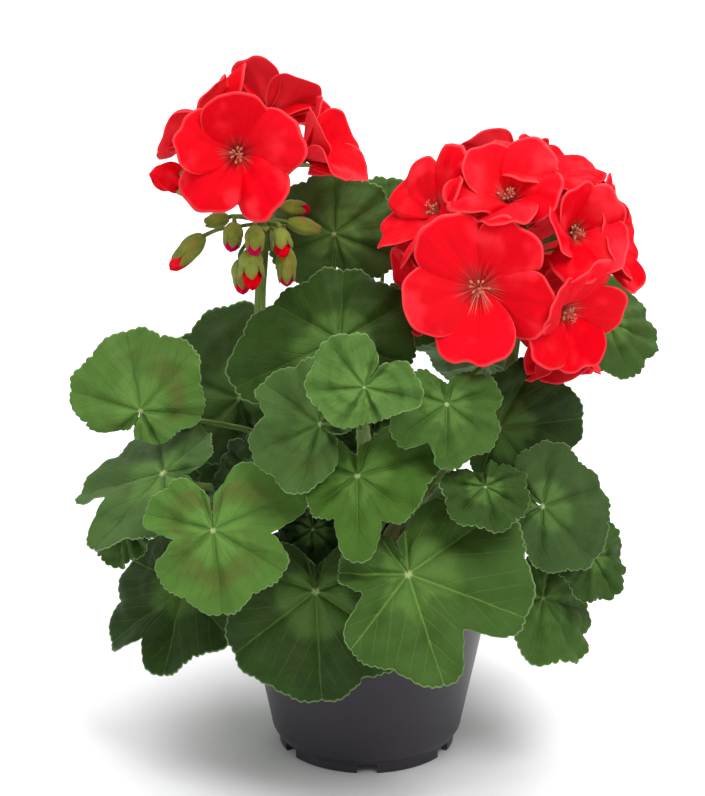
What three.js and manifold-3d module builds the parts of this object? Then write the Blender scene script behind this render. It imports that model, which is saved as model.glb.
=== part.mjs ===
// A zonal geranium in a round nursery pot: dark plastic pot on notched feet, potting mix, branching stems,
// stalked scalloped leaves, and two heads of red flowers on long stalks, one of them still mostly in bud.
// Millimetres and degrees. +Z is up and -Y is the front. The origin is the middle of the ground plane.
// A direction round the plant is an angle from the front, and turns towards +X.
import * as THREE from "three";
import { mergeVertices } from "three/addons/utils/BufferGeometryUtils.js";
import Module from "manifold-3d";

const wasm = await Module();
wasm.setup();

// ---- Driving dimensions ----------------------------------------------------------------------------------

const GAP = 0.3; // air between pieces that touch

const POT = {
  height: 85,
  rimRadius: 60, // outside of the lip
  footRadius: 42.3, // outside of the wall at its lower edge
  wall: 1.4,
  lipHeight: 9,
  lipStep: 1.3, // how far the lip stands out from the wall
  floor: 1.6, // thickness
  footHeight: 4.5,
  footInset: 2.2, // the feet stand this far in from the wall
  footWidth: 3,
  feet: 6,
  notch: 9, // width of the gap between one foot and the next
  padRadius: 12, // the middle of the floor comes down to the ground here
  drains: 6,
  drainRadius: 3.2,
  drainCircle: 24,
  sides: 36,
};

const SOIL = {
  belowRim: 10,
  crown: 3, // rise of the mound's middle above its edge
  brow: [0.6, 0.7], // where the mound eases off, as shares of its radius and of its rise
  sides: 24,
};

const STEM = { radius: 4.4, buried: 26, collar: 10, sides: 8 };

const BRANCH = { radius: 3.2, steps: 6, sides: 6 };

const STALK = { radius: 2.7, hubRadius: 3.6, sides: 7, steps: 6, swing: 0.3 };

const LEAF = {
  thickness: 0.9,
  stalkRadius: 1.3,
  stalkSides: 5,
  stalkSteps: 4,
  rise: 0.9, // how steeply a stalk leaves its branch
  overRim: 1.5, // every stalk clears the pot's rim by this
  swingOut: 0.42, // the stalk holds its first direction over this share of its reach
  swingIn: 0.2, // and meets the blade square on over this share
  ribAngle: 55, // from one main rib to the next
  spokesPerRib: 4,
  innerRing: 0.52, // the ring inside the margin, as a share of the blade's length
  bulgeFrom: 0.625, // the pleats are at their full height beyond this share of the length
  shoulder: 0.985, // the margin runs a little inside the tips, between rib and notch
  lobes: [0.66, 0.9, 0.98, 1, 0.98, 0.9, 0.66], // length of each main rib, as a share of the middle one
  cuts: [0.07, 0.07, 0.07, 0.07, 0.07, 0.07], // depth of the notch between two ribs, as a share of them
  pleat: 0.035, // how far the blade bulges between ribs, as a share of its length
  cup: -0.12, // rise of the margin, as a share of the blade's length: below 0 is domed
};

const FLOWER = {
  thickness: 0.8,
  petals: 5,
  halfPetal: 30, // angle from a petal's middle to its broad side
  side: 0.9, // length of a petal at its side, as a share of its middle
  notch: 0.42, // how near the throat two petals part
  innerRing: 0.5,
  cup: 34, // how steeply the petals rise from flat
  throatRise: 1.25, // the rise close to the throat, as a share of the cup
  calyxLength: 7,
  calyxRadius: 1.8,
  calyxSides: 6,
  pedicelRadius: 0.85,
  pedicelSides: 4,
  pedicelSteps: 3,
  pedicelSwing: 0.3,
  pedicelDip: -20, // no pedicel leaves its hub at a lower angle than this
};

const BUD = {
  sides: 7,
  neck: 1, // radius where the pedicel enters
  profile: [[0.85, 0.2], [1, 0.45], [0.75, 0.75]], // shares of the radius and of the length
};

// ---- Plan of the plant -----------------------------------------------------------------------------------

// Branches, each a run of points [x, y, height above the potting mix] from the crown up.
const BRANCHES = {
  left: [[-3, -1, 6], [-14, -4, 34], [-35, -2, 78], [-45, 0, 112]],
  right: [[3, -1, 6], [14, -4, 32], [40, -8, 66], [58, -10, 96]],
  back: [[0, 3, 6], [4, 14, 34], [2, 32, 72], [-6, 34, 115]],
  front: [[0, -3, 6], [2, -12, 26], [0, -28, 52], [-2, -40, 90]],
};

// Flower stalks, from a branch's tip to the hub of the head. Hub is [x, y, height above the rim].
const STALKS = {
  left: { hub: [-45, 0, 161] },
  right: { hub: [64, -14, 149] },
};

// Leaves. at: [direction round the plant, distance beyond the rim, height above the rim] of the point where
// stalk and blade meet. faces: [direction round the plant, lean from straight up] of the upper side. turn:
// the middle rib's swing from downhill, anticlockwise as seen from above the blade. size: length of the
// middle rib. from: [branch, how far along it the leaf's own stalk starts].
const LEAVES = {
  up_left: {
    at: [-81, 41, 79], faces: [-20, 60], turn: 150, size: 38, from: ["left", 0.62],
    lobes: [0.32, 0.45, 0.72, 0.95, 1.08, 1, 0.5],
  },
  mid_left: {
    at: [-70, 35, 56], faces: [-55, 32], turn: -60, size: 50, from: ["left", 0.44],
    lobes: [0.5, 0.6, 0.85, 1, 0.9, 0.7, 0.5], cuts: [0.07, 0.07, 0.07, 0.45, 0.07, 0.07],
  },
  front_left: {
    at: [-40, 42, 47], faces: [-12, 62], turn: 10, size: 36, from: ["front", 0.25], rise: 0.3,
    lobes: [0.78, 0.92, 0.88, 1, 0.97, 1.18, 0.85], cuts: [0.08, 0.5, 0.07, 0.07, 0.38, 0.12],
  },
  small_left: { at: [-78, 50, 30], faces: [-50, 60], turn: 10, size: 21, from: ["left", 0.38] },
  low_left: {
    at: [-68, 27, 3], faces: [-48, 45], turn: -38, size: 46, from: ["left", 0.14],
    lobes: [0.66, 0.9, 0.95, 1, 0.9, 0.85, 0.6], cuts: [0.07, 0.07, 0.07, 0.3, 0.07, 0.07],
  },
  low_centre: {
    at: [-17, 16, 17], faces: [-10, 70], turn: 5, size: 48, from: ["front", 0.2],
    lobes: [0.45, 0.78, 0.98, 1, 0.98, 0.7, 0.45], cuts: [0.1, 0.12, 0.1, 0.12, 0.12, 0.1],
  },
  shade_centre: { at: [-26, -6, 36], faces: [-10, 65], turn: 0, size: 18, from: ["front", 0.5] },
  front_big: {
    at: [10, 37, 34], faces: [5, 52], turn: 15, size: 49, from: ["front", 0.34],
    lobes: [0.7, 0.6, 0.82, 1, 1.1, 1.08, 0.6], cuts: [0.1, 0.42, 0.07, 0.38, 0.07, 0.1],
  },
  centre: {
    at: [-3, 25, 74], faces: [0, 48], turn: 0, size: 37, from: ["front", 0.75],
    lobes: [0.5, 0.62, 0.66, 1, 0.75, 1, 0.75], cuts: [0.07, 0.07, 0.3, 0.4, 0.07, 0.07],
  },
  centre_left: {
    at: [-14, 22, 95], faces: [-20, 58], turn: -118, size: 34, cup: -0.05, from: ["front", 0.86],
    lobes: [0.45, 0.55, 0.85, 1, 0.98, 0.9, 0.5], cuts: [0.07, 0.07, 0.07, 0.35, 0.07, 0.07],
  },
  young_centre: {
    at: [-1, 31, 115], faces: [-5, 65], turn: -30, size: 22, cup: 0.1, from: ["front", 0.96],
    lobes: [1.05, 1.15, 1.1, 0.9, 0.7, 1.1, 1],
  },
  young_right: {
    at: [23, 24, 103], faces: [12, 60], turn: -5, size: 27, from: ["right", 0.6],
    cuts: [0.07, 0.07, 0.4, 0.12, 0.2, 0.07],
  },
  shade_right: {
    at: [65, 3, 75], faces: [15, 80], turn: 90, size: 42, from: ["right", 0.7],
    lobes: [0.4, 0.6, 0.98, 1, 0.85, 0.5, 0.4], cuts: [0.07, 0.07, 0.25, 0.07, 0.07, 0.07],
  },
  mid_right: { at: [30, 38, 69], faces: [20, 38], turn: 0, size: 21, from: ["right", 0.52] },
  right: {
    at: [54, 33, 49], faces: [30, 62], turn: 40, size: 36, from: ["right", 0.32],
    lobes: [0.5, 0.5, 0.75, 1, 1, 0.85, 0.7],
  },
  low_right: { at: [66, 25, -2], faces: [50, 50], turn: 10, size: 32, from: ["right", 0.16] },
  top_centre: {
    at: [-22, -28, 116], faces: [-10, 50], turn: 185, size: 36, from: ["left", 0.85],
    lobes: [0.66, 0.9, 0.98, 1, 1.1, 1.4, 0.7],
  },
  back_left: {
    at: [-112, 2, 72], faces: [-20, 62], turn: 200, size: 46, from: ["back", 0.6],
    lobes: [0.45, 0.7, 0.98, 1, 0.98, 0.9, 0.66],
  },
  upper_back: {
    at: [-144, -35, 150], faces: [0, 70], turn: 180, size: 30, from: ["back", 0.98],
    lobes: [0.95, 1, 0.98, 1, 0.98, 1, 0.95],
  },
  far_back: { at: [170, -14, 143], faces: [10, 65], turn: 170, size: 28, from: ["back", 0.9] },
  young_back: { at: [121, -40, 118], faces: [-20, 55], turn: 0, size: 20, from: ["back", 0.8] },
  upper_right: { at: [100, 49, 110], faces: [35, 50], turn: 60, size: 28, from: ["right", 0.9] },
  shade_left: { at: [-52, 2, 57], faces: [-30, 60], turn: -60, size: 22, from: ["left", 0.5] },
  fill_left: { at: [-128, 10, 58], faces: [0, 60], turn: 20, size: 26, from: ["left", 0.56] },
  fill_low: { at: [-106, 38, 32], faces: [-50, 50], turn: 0, size: 24, from: ["left", 0.3] },
  fill_back: { at: [169, -40, 56], faces: [0, 60], turn: 0, size: 24, from: ["back", 0.5] },
  fill_right: { at: [72, 44, 18], faces: [40, 60], turn: 20, size: 22, from: ["right", 0.22] },
  rear: { at: [180, 30, 40], faces: [180, 50], turn: 0, size: 42, from: ["back", 0.45] },
  rear_right: { at: [140, 28, 75], faces: [140, 45], turn: 10, size: 40, from: ["back", 0.6] },
  rear_left: { at: [-140, 30, 32], faces: [-140, 50], turn: -10, size: 42, from: ["back", 0.35] },
  side_right: { at: [105, 30, 35], faces: [100, 50], turn: 10, size: 42, from: ["right", 0.3] },
  side_left: { at: [-125, 30, 8], faces: [-115, 50], turn: 0, size: 42, from: ["left", 0.22] },
  rear_low: { at: [160, 25, 0], faces: [160, 55], turn: -10, size: 44, from: ["back", 0.18] },
  rear_top: { at: [-165, 10, 100], faces: [-170, 40], turn: 20, size: 38, from: ["back", 0.7] },
};

// Flowers. out: [direction round the hub, angle above level, distance] of the throat from the hub. faces:
// [direction, angle above level] the flower looks in, when that isn't straight out. size: petal length.
const FLOWERS = {
  right_front: { head: "right", out: [-23, -2, 44], faces: [-8, 12], spin: 0, size: 32, cup: 22 },
  right_front_right: { head: "right", out: [30, -22, 37], faces: [40, -12], spin: 20, size: 28, cup: 40 },
  right_left: { head: "right", out: [-76, 32, 38], spin: 40, size: 30 },
  right_top_front: { head: "right", out: [-12, 54, 36], spin: 10, size: 28, cup: 42 },
  right_top: { head: "right", out: [88, 70, 34], spin: 30, size: 27 },
  right_side: { head: "right", out: [78, 15, 35], spin: 0, size: 28 },
  right_low: { head: "right", out: [64, -55, 35], faces: [40, -72], spin: 10, size: 26, cup: 58 },
  right_low_left: { head: "right", out: [-75, -20, 34], spin: 15, size: 27 },
  right_upper: { head: "right", out: [40, 28, 37], faces: [32, 22], spin: 50, size: 25, cup: 45 },
  right_back_right: { head: "right", out: [128, 15, 35], spin: 25, size: 28 },
  right_back: { head: "right", out: [178, 5, 35], spin: 5, size: 28 },
  right_back_left: { head: "right", out: [-126, 8, 35], spin: 35, size: 28 },
  right_back_top: { head: "right", out: [-166, 52, 36], spin: 0, size: 27 },
  right_back_low: { head: "right", out: [155, -40, 34], spin: 20, size: 26 },
  left_front: { head: "left", out: [-25, 56, 43], faces: [-5, 15], spin: 36, size: 30 },
  left_back: { head: "left", out: [-108, 60, 46], faces: [-108, 38], spin: 0, size: 29 },
  left_top: { head: "left", out: [172, 71, 46], faces: [150, 42], spin: 20, size: 28 },
  left_side: { head: "left", out: [90, 58, 33], faces: [80, 35], spin: 10, size: 27, cup: 45 },
};

// Buds. out: as for a flower, but of the bud's base. points: [direction, angle above level]. size: length.
const BUDS = {
  long_left: { out: [-80, -10, 27], points: [-76, -44], size: 21, radius: 3.9 },
  half_open: { out: [-80, 36, 32], points: [-85, 10], size: 24, radius: 5.5 },
  front: { out: [-24, -30, 17], points: [25, -81], size: 18, radius: 4.3 },
};

// Younger buds, still joined to the hub. The same measures.
const YOUNG_BUDS = [
  { out: [-57, 8, 15], points: [-32, -74], size: 13, radius: 3.6 },
  { out: [-14, 8, 14], points: [-10, -72], size: 13, radius: 3.6 },
  { out: [-62, -48, 20], points: [60, -80], size: 16, radius: 3.6 },
  { out: [38, -2, 11], points: [25, -70], size: 13, radius: 3.7 },
  { out: [62, -42, 14], points: [20, -84], size: 18, radius: 3.7 },
  { out: [90, 0, 10], points: [90, -14], size: 15, radius: 3.2 },
  { out: [-104, 4, 16], points: [-90, -14], size: 11, radius: 3 },
  { out: [-50, -42, 15], points: [-50, -78], size: 12, radius: 3.1 },
  { out: [120, 34, 10], points: [100, -8], size: 13, radius: 3.2 },
  { out: [160, -10, 12], points: [160, -60], size: 14, radius: 3.4 },
];

const GREENS = { leaf: "#47772f", shaded: "#3a6530", young: "#5d8a4c", stem: "#5f7d33", bud: "#6f7f35" };
const RED = "#e8071c";

// ---- Levels and radii that follow from them ---------------------------------------------------------------

const wallTopRadius = POT.rimRadius - POT.lipStep;
const soilTop = POT.height - SOIL.belowRim;
const floorTop = POT.footHeight + POT.floor;

/** Outside radius of the pot's wall at a height. */
function wallRadius(z) {
  const t = (z - POT.footHeight) / (POT.height - POT.footHeight);
  return POT.footRadius + (wallTopRadius - POT.footRadius) * t;
}

// ---- Directions -------------------------------------------------------------------------------------------

const rad = THREE.MathUtils.degToRad;
const UP = new THREE.Vector3(0, 0, 1);

/** Unit vector at a direction round the plant and an angle above level. */
function towards(direction, above) {
  const level = Math.cos(rad(above));
  const round = rad(direction);
  return new THREE.Vector3(Math.sin(round) * level, -Math.cos(round) * level, Math.sin(rad(above)));
}

/** A place given by its direction round the plant, its distance beyond the rim and its height above it. */
function place([direction, beyond, above]) {
  return towards(direction, 0)
    .multiplyScalar(POT.rimRadius + beyond)
    .setZ(POT.height + above);
}

/** Curve through a branch's points. */
function branchCurve(name) {
  return new THREE.CatmullRomCurve3(
    BRANCHES[name].map(([x, y, up]) => new THREE.Vector3(x, y, soilTop + up)),
  );
}

// ---- Solids -----------------------------------------------------------------------------------------------

/** A closed three.js geometry as a manifold-3d solid. */
function solidOf(geometry) {
  const bare = new THREE.BufferGeometry().setAttribute("position", geometry.getAttribute("position"));
  bare.setIndex(geometry.index);
  const merged = mergeVertices(bare, 1e-3);
  return new wasm.Manifold(
    new wasm.Mesh({
      numProp: 3,
      vertProperties: merged.attributes.position.array,
      triVerts: new Uint32Array(merged.index.array),
    }),
  );
}

/** A manifold-3d solid as a three.js geometry. */
function geometryOf(solid) {
  const mesh = solid.getMesh();
  const positions = new Float32Array(mesh.numVert * 3);
  for (let i = 0; i < mesh.numVert; i++) {
    positions.set(mesh.vertProperties.subarray(i * mesh.numProp, i * mesh.numProp + 3), i * 3);
  }
  return new THREE.BufferGeometry()
    .setAttribute("position", new THREE.BufferAttribute(positions, 3))
    .setIndex(new THREE.BufferAttribute(new Uint32Array(mesh.triVerts), 1));
}

/** Solid of revolution about Z from a closed run of [radius, height]. */
function turned(profile, sides) {
  const points = profile.map(([radius, z]) => new THREE.Vector2(radius, z));
  const lathe = new THREE.LatheGeometry(points, sides);
  lathe.rotateX(Math.PI / 2);
  return solidOf(lathe);
}

/** Upright round rod between two heights. */
function rod(radius, low, high, sides) {
  const cylinder = new THREE.CylinderGeometry(radius, radius, high - low, sides);
  return solidOf(cylinder.rotateX(Math.PI / 2).translate(0, 0, (low + high) / 2));
}

/** Round bar along a curve. */
function bar(curve, radius, sides, steps) {
  const outline = new THREE.Shape();
  for (let i = 0; i < sides; i++) {
    const angle = (2 * Math.PI * i) / sides;
    outline[i ? "lineTo" : "moveTo"](radius * Math.cos(angle), radius * Math.sin(angle));
  }
  outline.closePath();
  return solidOf(new THREE.ExtrudeGeometry(outline, { steps, extrudePath: curve, curveSegments: 1 }));
}

/** Small ball. */
function ball(centre, radius) {
  return solidOf(new THREE.IcosahedronGeometry(radius, 1).translate(...centre));
}

/**
 * A thin blade that fans out from a middle point. rings[r][s] is the middle surface's point on ring r and
 * spoke s, innermost ring first. An open fan has a slot between its last spoke and its first.
 */
function fan(middle, rings, thickness, open) {
  const spokes = rings[0].length;
  const points = [middle, ...rings.flat()];
  const at = (ring, spoke) => 1 + ring * spokes + (spoke % spokes);
  const faces = [];
  const spans = open ? spokes - 1 : spokes;
  for (let s = 0; s < spans; s++) {
    faces.push([0, at(0, s), at(0, s + 1)]);
    for (let r = 1; r < rings.length; r++) {
      faces.push([at(r - 1, s), at(r, s), at(r, s + 1)]);
      faces.push([at(r - 1, s), at(r, s + 1), at(r - 1, s + 1)]);
    }
  }
  const normals = points.map(() => new THREE.Vector3());
  const face = new THREE.Triangle();
  const across = new THREE.Vector3();
  for (const corners of faces) {
    face.set(...corners.map((i) => points[i]));
    face.getNormal(across).multiplyScalar(face.getArea());
    corners.forEach((i) => normals[i].add(across));
  }
  const skin = (side) =>
    points.map((point, i) => point.clone().addScaledVector(normals[i].normalize(), (side * thickness) / 2));
  const edge = [];
  const last = rings.length - 1;
  if (open) edge.push(0, ...rings.map((_, r) => at(r, 0)));
  for (let s = open ? 1 : 0; s < spokes; s++) edge.push(at(last, s));
  if (open) edge.push(...rings.map((_, r) => at(last - 1 - r, spokes - 1)).slice(0, last));
  const below = points.length;
  const all = [...faces, ...faces.map(([a, b, c]) => [a + below, c + below, b + below])];
  edge.forEach((a, i) => {
    const b = edge[(i + 1) % edge.length];
    all.push([a, a + below, b + below], [a, b + below, b]);
  });
  const positions = [...skin(1), ...skin(-1)].flatMap((point) => point.toArray());
  return solidOf(
    new THREE.BufferGeometry()
      .setAttribute("position", new THREE.Float32BufferAttribute(positions, 3))
      .setIndex(all.flat()),
  );
}

// ---- Pot and potting mix ----------------------------------------------------------------------------------

/** Tapered pot: lip, wall, floor with drain holes, a ring of feet and a middle pad to stand on. */
function makePot() {
  const lipFoot = POT.height - POT.lipHeight;
  const footOut = POT.footRadius - POT.footInset;
  const shell = turned(
    [
      [0, 0],
      [POT.padRadius, 0],
      [POT.padRadius + POT.floor, POT.footHeight],
      [footOut - POT.footWidth, POT.footHeight],
      [footOut - POT.footWidth, 0],
      [footOut, 0],
      [footOut, POT.footHeight],
      [POT.footRadius, POT.footHeight],
      [wallRadius(lipFoot), lipFoot],
      [wallRadius(lipFoot) + POT.lipStep, lipFoot],
      [POT.rimRadius, POT.height],
      [wallTopRadius - POT.wall, POT.height],
      [wallRadius(floorTop) - POT.wall, floorTop],
      [0, floorTop],
    ],
    POT.sides,
  );
  let pot = shell;
  for (let i = 0; i < POT.feet; i++) {
    const turn = (360 / POT.feet) * i;
    const gap = new THREE.BoxGeometry(POT.notch, POT.footWidth * 3, POT.footHeight * 2);
    gap.translate(0, -(footOut - POT.footWidth / 2), 0).rotateZ(rad(turn));
    pot = pot.subtract(solidOf(gap));
  }
  for (let i = 0; i < POT.drains; i++) {
    const [x, y] = towards((360 / POT.drains) * (i + 0.5), 0).multiplyScalar(POT.drainCircle);
    const hole = rod(POT.drainRadius, POT.footHeight - 1, floorTop + 1, 12).translate([x, y, 0]);
    pot = pot.subtract(hole);
  }
  return pot;
}

/** Plug of potting mix, slightly mounded, with a hole for the buried stem. */
function makeSoil() {
  const inside = (z) => wallRadius(z) - POT.wall - GAP;
  const bottom = floorTop + GAP;
  const plug = turned(
    [
      [0, bottom],
      [inside(bottom), bottom],
      [inside(soilTop), soilTop],
      [inside(soilTop) * SOIL.brow[0], soilTop + SOIL.crown * SOIL.brow[1]],
      [0, soilTop + SOIL.crown],
    ],
    SOIL.sides,
  );
  const top = soilTop + SOIL.crown + 1;
  return plug.subtract(rod(STEM.radius + GAP, soilTop - STEM.buried - GAP, top, STEM.sides));
}

// ---- Stems ------------------------------------------------------------------------------------------------

/** Woody stem from below the mix, with its branches. */
function makeStems() {
  let stems = rod(STEM.radius, soilTop - STEM.buried, soilTop + STEM.collar, STEM.sides);
  for (const name in BRANCHES) {
    const curve = branchCurve(name);
    stems = stems.add(bar(curve, BRANCH.radius, BRANCH.sides, BRANCH.steps));
  }
  return stems;
}

/** Middle of a head of flowers. */
function hubOf(head) {
  const [x, y, above] = STALKS[head].hub;
  return new THREE.Vector3(x, y, POT.height + above);
}

/** Long stalk from a branch's tip up to the hub that carries a head of flowers. */
function makeStalk(head) {
  const branch = branchCurve(head);
  const tip = branch.getPoint(1);
  const along = branch.getTangent(1);
  const start = tip.clone().addScaledVector(along, GAP);
  const hub = hubOf(head);
  const reach = start.distanceTo(hub);
  const curve = new THREE.CubicBezierCurve3(
    start,
    start.clone().addScaledVector(along, reach * STALK.swing),
    hub.clone().addScaledVector(UP, -reach * STALK.swing),
    hub,
  );
  return bar(curve, STALK.radius, STALK.sides, STALK.steps).add(ball(hub, STALK.hubRadius));
}

// ---- Leaves -----------------------------------------------------------------------------------------------

/** Length of a leaf's blade along each spoke, as a share of its middle rib. */
function leafOutline(lobes, cuts) {
  const per = LEAF.spokesPerRib;
  const outline = [];
  for (let s = 0; s <= (lobes.length - 1) * per; s++) {
    const rib = Math.min(Math.floor(s / per), lobes.length - 2);
    const t = s / per - rib;
    const level = lobes[rib] * (1 - t) + lobes[rib + 1] * t;
    const between = t === 0.5 ? 1 - cuts[rib] : LEAF.shoulder;
    outline.push(t === 0 || t === 1 ? level : level * between);
  }
  return outline;
}

/** A leaf: a scalloped blade and its own stalk, grown in one. */
function makeLeaf(row) {
  const { at, faces, turn, size, from } = row;
  const { lobes, cuts, cup, pleat, rise } = { ...LEAF, ...row };
  const heart = place(at);
  const facing = towards(faces[0], 90 - faces[1]);
  const downhill = towards(faces[0], -faces[1]);
  const rib = downhill.applyAxisAngle(facing, rad(turn));
  const side = new THREE.Vector3().crossVectors(facing, rib);
  const outline = leafOutline(lobes, cuts);
  const halfWay = (outline.length - 1) / 2;
  const rings = [LEAF.innerRing, 1].map((share) =>
    outline.map((length, s) => {
      const angle = rad(((s - halfWay) * LEAF.ribAngle) / LEAF.spokesPerRib);
      const reach = share * length;
      const bulge = -pleat * Math.cos((2 * Math.PI * s) / LEAF.spokesPerRib);
      const lift = cup * reach * reach + bulge * Math.min(share / LEAF.bulgeFrom, 1);
      return heart
        .clone()
        .addScaledVector(rib, size * reach * Math.cos(angle))
        .addScaledVector(side, size * reach * Math.sin(angle))
        .addScaledVector(facing, size * lift);
    }),
  );
  const blade = fan(heart, rings, LEAF.thickness, true);
  const branch = branchCurve(from[0]);
  const root = branch.getPoint(from[1]);
  const out = heart.clone().sub(root).setZ(0).normalize();
  const along = branch.getTangent(from[1]);
  out.addScaledVector(along, -out.dot(along)).normalize();
  const start = root.addScaledVector(out, BRANCH.radius + GAP + LEAF.stalkRadius);
  out.addScaledVector(UP, rise).normalize();
  const reach = start.distanceTo(heart);
  const curve = new THREE.CubicBezierCurve3(
    start,
    start.clone().addScaledVector(out, reach * LEAF.swingOut),
    heart.clone().addScaledVector(facing, -reach * LEAF.swingIn),
    heart,
  );
  archOver(curve);
  return blade.add(bar(curve, LEAF.stalkRadius, LEAF.stalkSides, LEAF.stalkSteps));
}

/** Lifts a stalk's first stretch until it clears the rim of the pot. */
function archOver(curve) {
  const lowest = POT.height + LEAF.overRim + LEAF.stalkRadius;
  const reach = POT.wall + POT.lipStep + LEAF.stalkRadius;
  const above = ({ x, y }) => Math.abs(Math.hypot(x, y) - wallTopRadius) < reach;
  const touches = () => curve.getPoints(24).some((point) => above(point) && point.z < lowest);
  for (let lift = 0; lift < POT.height && touches(); lift++) curve.v1.z += 1;
}

// ---- Flowers and buds -------------------------------------------------------------------------------------

/** Thin stalk that leaves a hub straight out, from a distance off its middle, and meets a flower or bud. */
function pedicel(hub, off, [direction, above], end, facing) {
  const out = towards(direction, Math.max(above, FLOWER.pedicelDip));
  const start = hub.clone().addScaledVector(out, off);
  const reach = start.distanceTo(end);
  const curve = new THREE.CubicBezierCurve3(
    start,
    start.clone().addScaledVector(out, reach * FLOWER.pedicelSwing),
    end.clone().addScaledVector(facing, -reach * FLOWER.pedicelSwing),
    end,
  );
  return bar(curve, FLOWER.pedicelRadius, FLOWER.pedicelSides, FLOWER.pedicelSteps);
}

/** Turns a solid made along +Z from the origin to look in a direction, and puts its foot at a place. */
function aimed(solid, foot, facing) {
  const turn = new THREE.Quaternion().setFromUnitVectors(UP, facing);
  const matrix = new THREE.Matrix4().compose(foot, turn, new THREE.Vector3(1, 1, 1));
  return solid.transform(matrix.elements);
}

/** An open flower: five petals from one throat, the calyx behind them and its thin stalk. */
function makeFlower(row) {
  const { head, out, spin, size, cup } = { ...FLOWER, ...row };
  const faces = row.faces ?? out;
  const hub = hubOf(head);
  const outward = towards(out[0], out[1]);
  const throat = hub.clone().addScaledVector(outward, out[2]);
  const facing = towards(faces[0], faces[1]);
  const first = towards(faces[0], faces[1] - 90).applyAxisAngle(facing, rad(spin));
  const second = new THREE.Vector3().crossVectors(facing, first);
  const rings = [FLOWER.innerRing, 1].map((share) => {
    const ring = [];
    for (let petal = 0; petal < FLOWER.petals; petal++) {
      const middle = (360 / FLOWER.petals) * petal;
      const spokes = [
        [0, 1],
        [FLOWER.halfPetal, FLOWER.side],
        [180 / FLOWER.petals, FLOWER.notch],
        [360 / FLOWER.petals - FLOWER.halfPetal, FLOWER.side],
      ];
      for (const [offset, length] of spokes) {
        const angle = rad(middle + offset);
        const reach = share * length * size;
        const rise = rad(cup) * THREE.MathUtils.lerp(FLOWER.throatRise, 1, share);
        ring.push(
          throat
            .clone()
            .addScaledVector(first, reach * Math.cos(angle) * Math.cos(rise))
            .addScaledVector(second, reach * Math.sin(angle) * Math.cos(rise))
            .addScaledVector(facing, reach * Math.sin(rise)),
        );
      }
    }
    return ring;
  });
  const corolla = fan(throat, rings, FLOWER.thickness, false);
  const { calyxLength, calyxRadius, calyxSides, pedicelRadius } = FLOWER;
  const calyx = turned(
    [
      [0, -calyxLength],
      [pedicelRadius * 1.2, -calyxLength],
      [calyxRadius, -calyxLength * 0.4],
      [calyxRadius * 0.8, 0],
      [0, 0],
    ],
    calyxSides,
  );
  const foot = throat.clone().addScaledVector(facing, -calyxLength * 0.9);
  const stalk = pedicel(hub, STALK.hubRadius + GAP, out, foot, facing);
  return corolla.add(aimed(calyx, throat, facing)).add(stalk);
}

/** A closed bud on its thin stalk, which starts a distance off the hub's middle. */
function makeBud({ out, points, size, radius }, off) {
  const hub = hubOf("left");
  const outward = towards(out[0], out[1]);
  const base = hub.clone().addScaledVector(outward, out[2]);
  const facing = towards(points[0], points[1]);
  const swell = BUD.profile.map(([wide, along]) => [radius * wide, size * along]);
  const bud = turned([[0, 0], [BUD.neck, 0], ...swell, [0, size]], BUD.sides);
  const end = base.clone().addScaledVector(facing, size * 0.1);
  return aimed(bud, base, facing).add(pedicel(hub, off, out, end, facing));
}

// ---- The object -------------------------------------------------------------------------------------------

const group = new THREE.Group();
group.name = "potted_geranium";

/** Adds a piece to the object. */
function keep(name, solid, color, roughness) {
  const material = new THREE.MeshStandardMaterial({ color, roughness, metalness: 0 });
  const mesh = new THREE.Mesh(geometryOf(solid), material);
  mesh.name = name;
  group.add(mesh);
}

keep("pot", makePot(), "#3b383f", 0.45);
keep("potting_mix", makeSoil(), "#3a2a20", 0.95);
keep("stems", makeStems(), GREENS.stem, 0.7);
for (const head in STALKS) {
  let stalk = makeStalk(head);
  if (head === "left") {
    for (const row of YOUNG_BUDS) stalk = stalk.add(makeBud(row, STALK.hubRadius / 2));
  }
  keep(`flower_stalk_${head}`, stalk, GREENS.stem, 0.6);
}
for (const name in LEAVES) {
  const tone = name.startsWith("young") ? "young" : name.startsWith("shade") ? "shaded" : "leaf";
  keep(`leaf_${name}`, makeLeaf(LEAVES[name]), GREENS[tone], 0.65);
}
for (const name in FLOWERS) keep(`flower_${name}`, makeFlower(FLOWERS[name]), RED, 0.6);
for (const name in BUDS) keep(`bud_${name}`, makeBud(BUDS[name], STALK.hubRadius + GAP), GREENS.bud, 0.6);

export default group;
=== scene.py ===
"""The looks of a zonal geranium in a dark nursery pot.

Every leaf, flower, bud and stem is measured from its solid in the frame and grown again round it with its own
fine shape: scalloped margins, veins, ruffled petals, stamens, sepals and hairs. Metres, +Z up, -Y is the front.
"""

import math

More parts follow.
